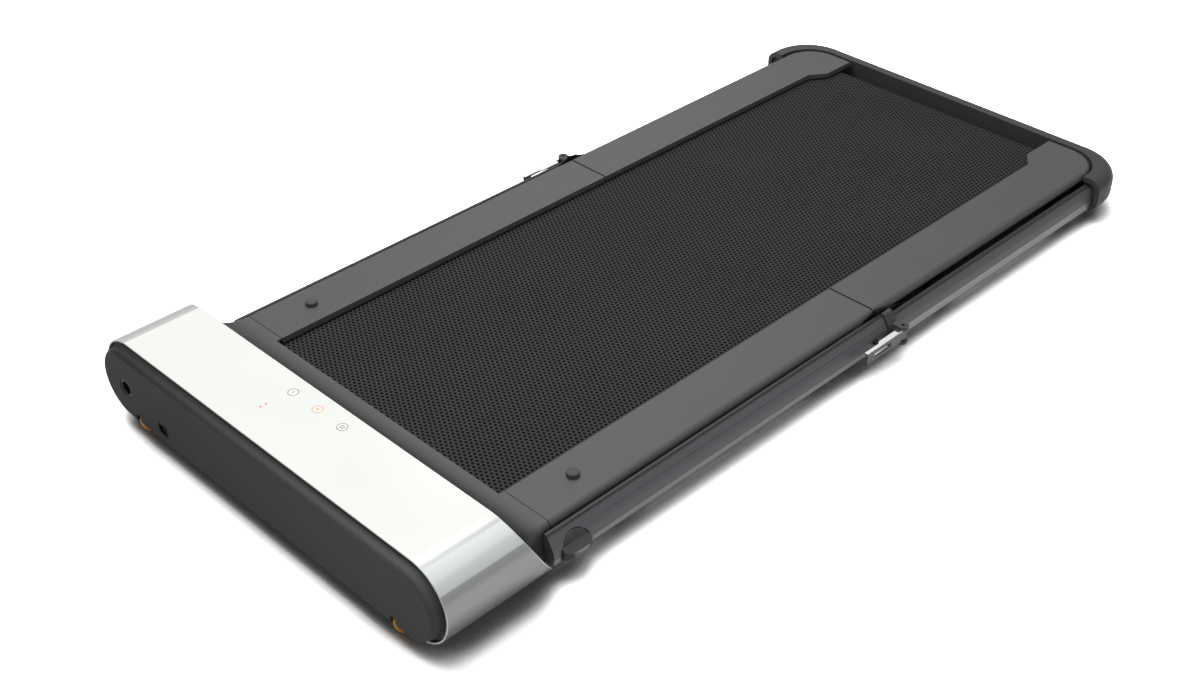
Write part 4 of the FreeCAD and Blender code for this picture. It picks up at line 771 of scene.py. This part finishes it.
# Copies of solids: the finish, and how far the edges are softened
DRESSED = {
    "rail_cover_front_left": ("rail", 0.5), "rail_cover_front_right": ("rail", 0.5),
    "rail_cover_rear_left": ("rail", 0.5), "rail_cover_rear_right": ("rail", 0.5),
    "console_front_cap": ("cap", 0.4), "front_cover": ("cover", 0.4), "rear_bar": ("bar", 0.8),
    "side_beam_front_left": ("front_beam", 0.3), "side_beam_front_right": ("front_beam", 0.3),
    "side_tube_rear_left": ("rear_tube", 0.3), "side_tube_rear_right": ("rear_tube", 0.3),
    "pedal_left": ("pedal", 0.7), "pedal_right": ("pedal", 0.7),
    "hasp_left": ("hasp", 0.3), "hasp_right": ("hasp", 0.3),
    "hinge_collar_left": ("collar", 0.8), "hinge_collar_right": ("collar", 0.8),
    "power_inlet": ("inlet", 0.4), "switch_bezel": ("switch", 0.4), "power_rocker": ("switch", 0.5),
    "latch_strikers": ("frame", 0.4), "wheel_forks": ("frame", 0.4), "motor": ("frame", 0.8),
    "control_unit": ("casing", 0.8), "tension_blocks": ("black", 0.5), "tube_end_caps": ("black", 0.5),
    "frame_tube_front_left": ("frame", 1.2), "frame_tube_front_right": ("frame", 1.2),
    "frame_tube_rear_left": ("frame", 1.2), "frame_tube_rear_right": ("frame", 1.2),
    "front_cross_tubes": ("frame", 0.8), "rear_cross_tubes": ("frame", 0.8),
    "fold_hinge_front": ("frame", 0.3), "fold_hinge_rear": ("frame", 0.3),
    "beam_spacers": ("frame", 0.6), "tube_spacers": ("frame", 0.6),
    "front_feet": ("foot", 0), "rear_feet": ("foot", 0),
    "front_roller": ("shaft", 0.5), "rear_roller": ("shaft", 0.5), "roller_pulley": ("black", 0.4),
    "motor_pulley": ("shaft", 0.4), "front_axle": ("shaft", 0.4), "rear_axle": ("shaft", 0.4),
    "wheel_axles": ("shaft", 0.3), "tension_screws": ("shaft", 0.3), "fold_hinge_pins": ("frame", 0.2),
    "pedal_pins": ("shaft", 0.2), "drive_belt": ("rubber", 0), "front_deck": ("board", 0.6),
    "rear_deck": ("board", 0.6), "motor_mount": ("frame", 0.6),
}
# Solids that only get a finish
PLAIN = {"touch_keys": "keys", "display_board": "circuit"}


def pieces():
    console_sleeve()
    walking_belt()
    for side_name, side in SIDES.items():
        wheel(side_name, side)
    latch_pins()
    bumpers()
    for node, (finish, bevel) in DRESSED.items():
        dressed(node, finish, bevel)
    for node, finish in PLAIN.items():
        nodes[node].data.materials.clear()
        nodes[node].data.materials.append(FINISHES[finish].material)


def floor():
    """A pale floor, white to the camera and in reflections, with a painted contact shadow close under the
    object.
    """
    shape = bmesh.new()
    bmesh.ops.create_grid(shape, x_segments=1, y_segments=1, size=30.0)
    mesh = bpy.data.meshes.new("floor")
    shape.to_mesh(mesh)
    shape.free()
    finish = Finish("floor_white", roughness=1.0, specular_ior_level=0.0)
    seen = finish.add("LightPath", {}, {}, "Is Camera Ray")
    glossy = finish.add("LightPath", {}, {}, "Is Glossy Ray")
    through = finish.add("LightPath", {}, {}, "Is Transmission Ray")
    bounced = finish.mix(glossy.higher(through), grey(0.45), grey(0.95))
    # Painted shadow: the floor's colour for the camera darkens with occlusion close under the object.
    occlusion_for_painted_shadow = finish.add("AmbientOcclusion", {"samples": 16}, {"Distance": 0.058}, "AO")
    shown = finish.mix(occlusion_for_painted_shadow.rise(0.4, 0.7), grey(0.3), grey(2.5))
    finish.set("Base Color", finish.mix(seen, bounced, shown))
    mesh.materials.append(finish.material)
    piece = bpy.data.objects.new("floor", mesh)
    bpy.context.scene.collection.objects.link(piece)


def lamp(name, place, target, size, power):
    light = bpy.data.lights.new(name, "AREA")
    light.shape = "RECTANGLE"
    light.size, light.size_y = size
    light.energy = power
    thing = bpy.data.objects.new(name, light)
    thing.location = place
    thing.rotation_euler = (Vector(target) - thing.location).to_track_quat("-Z", "Y").to_euler()
    bpy.context.scene.collection.objects.link(thing)


def studio():
    """A dim even sky, a large soft lamp overhead, two panels that metal reflects, and a side fill."""
    floor()
    world = bpy.data.worlds.new("sky")
    bpy.context.scene.world = world
    world.use_nodes = True
    background = world.node_tree.nodes["Background"]
    background.inputs["Color"].default_value = (1.0, 1.0, 1.0, 1.0)
    background.inputs["Strength"].default_value = 0.22
    lamp("overhead", (-0.8, -0.3, 3.2), (-0.2, 0.0, 0), (3.0, 3.0), 103.0)
    lamp("rear_panel", (-2.6, 2.6, 2.7), (0, 0, 0), (1.8, 1.8), 12.0)
    lamp("reflector", (1.5, 1.05, 3.0), (1.5, 1.05, 0), (2.4, 1.2), 9.0)
    lamp("side_fill", (3.2, -1.0, 1.4), (0, 0, 0), (2.0, 2.0), 7.0)


def photograph():
    """The camera at the photograph's viewing angle."""
    lens = bpy.data.cameras.new("camera")
    lens.lens = 50.0
    lens.sensor_width = 36.0
    camera = bpy.data.objects.new("camera", lens)
    camera.location = (1.3648, -1.4997, 1.3611)
    camera.rotation_euler = Vector((-1, 1, -1)).to_track_quat("-Z", "Y").to_euler()
    bpy.context.scene.collection.objects.link(camera)
    bpy.context.scene.camera = camera


pieces()
studio()
photograph()
bpy.context.scene.view_settings.view_transform = "Standard"
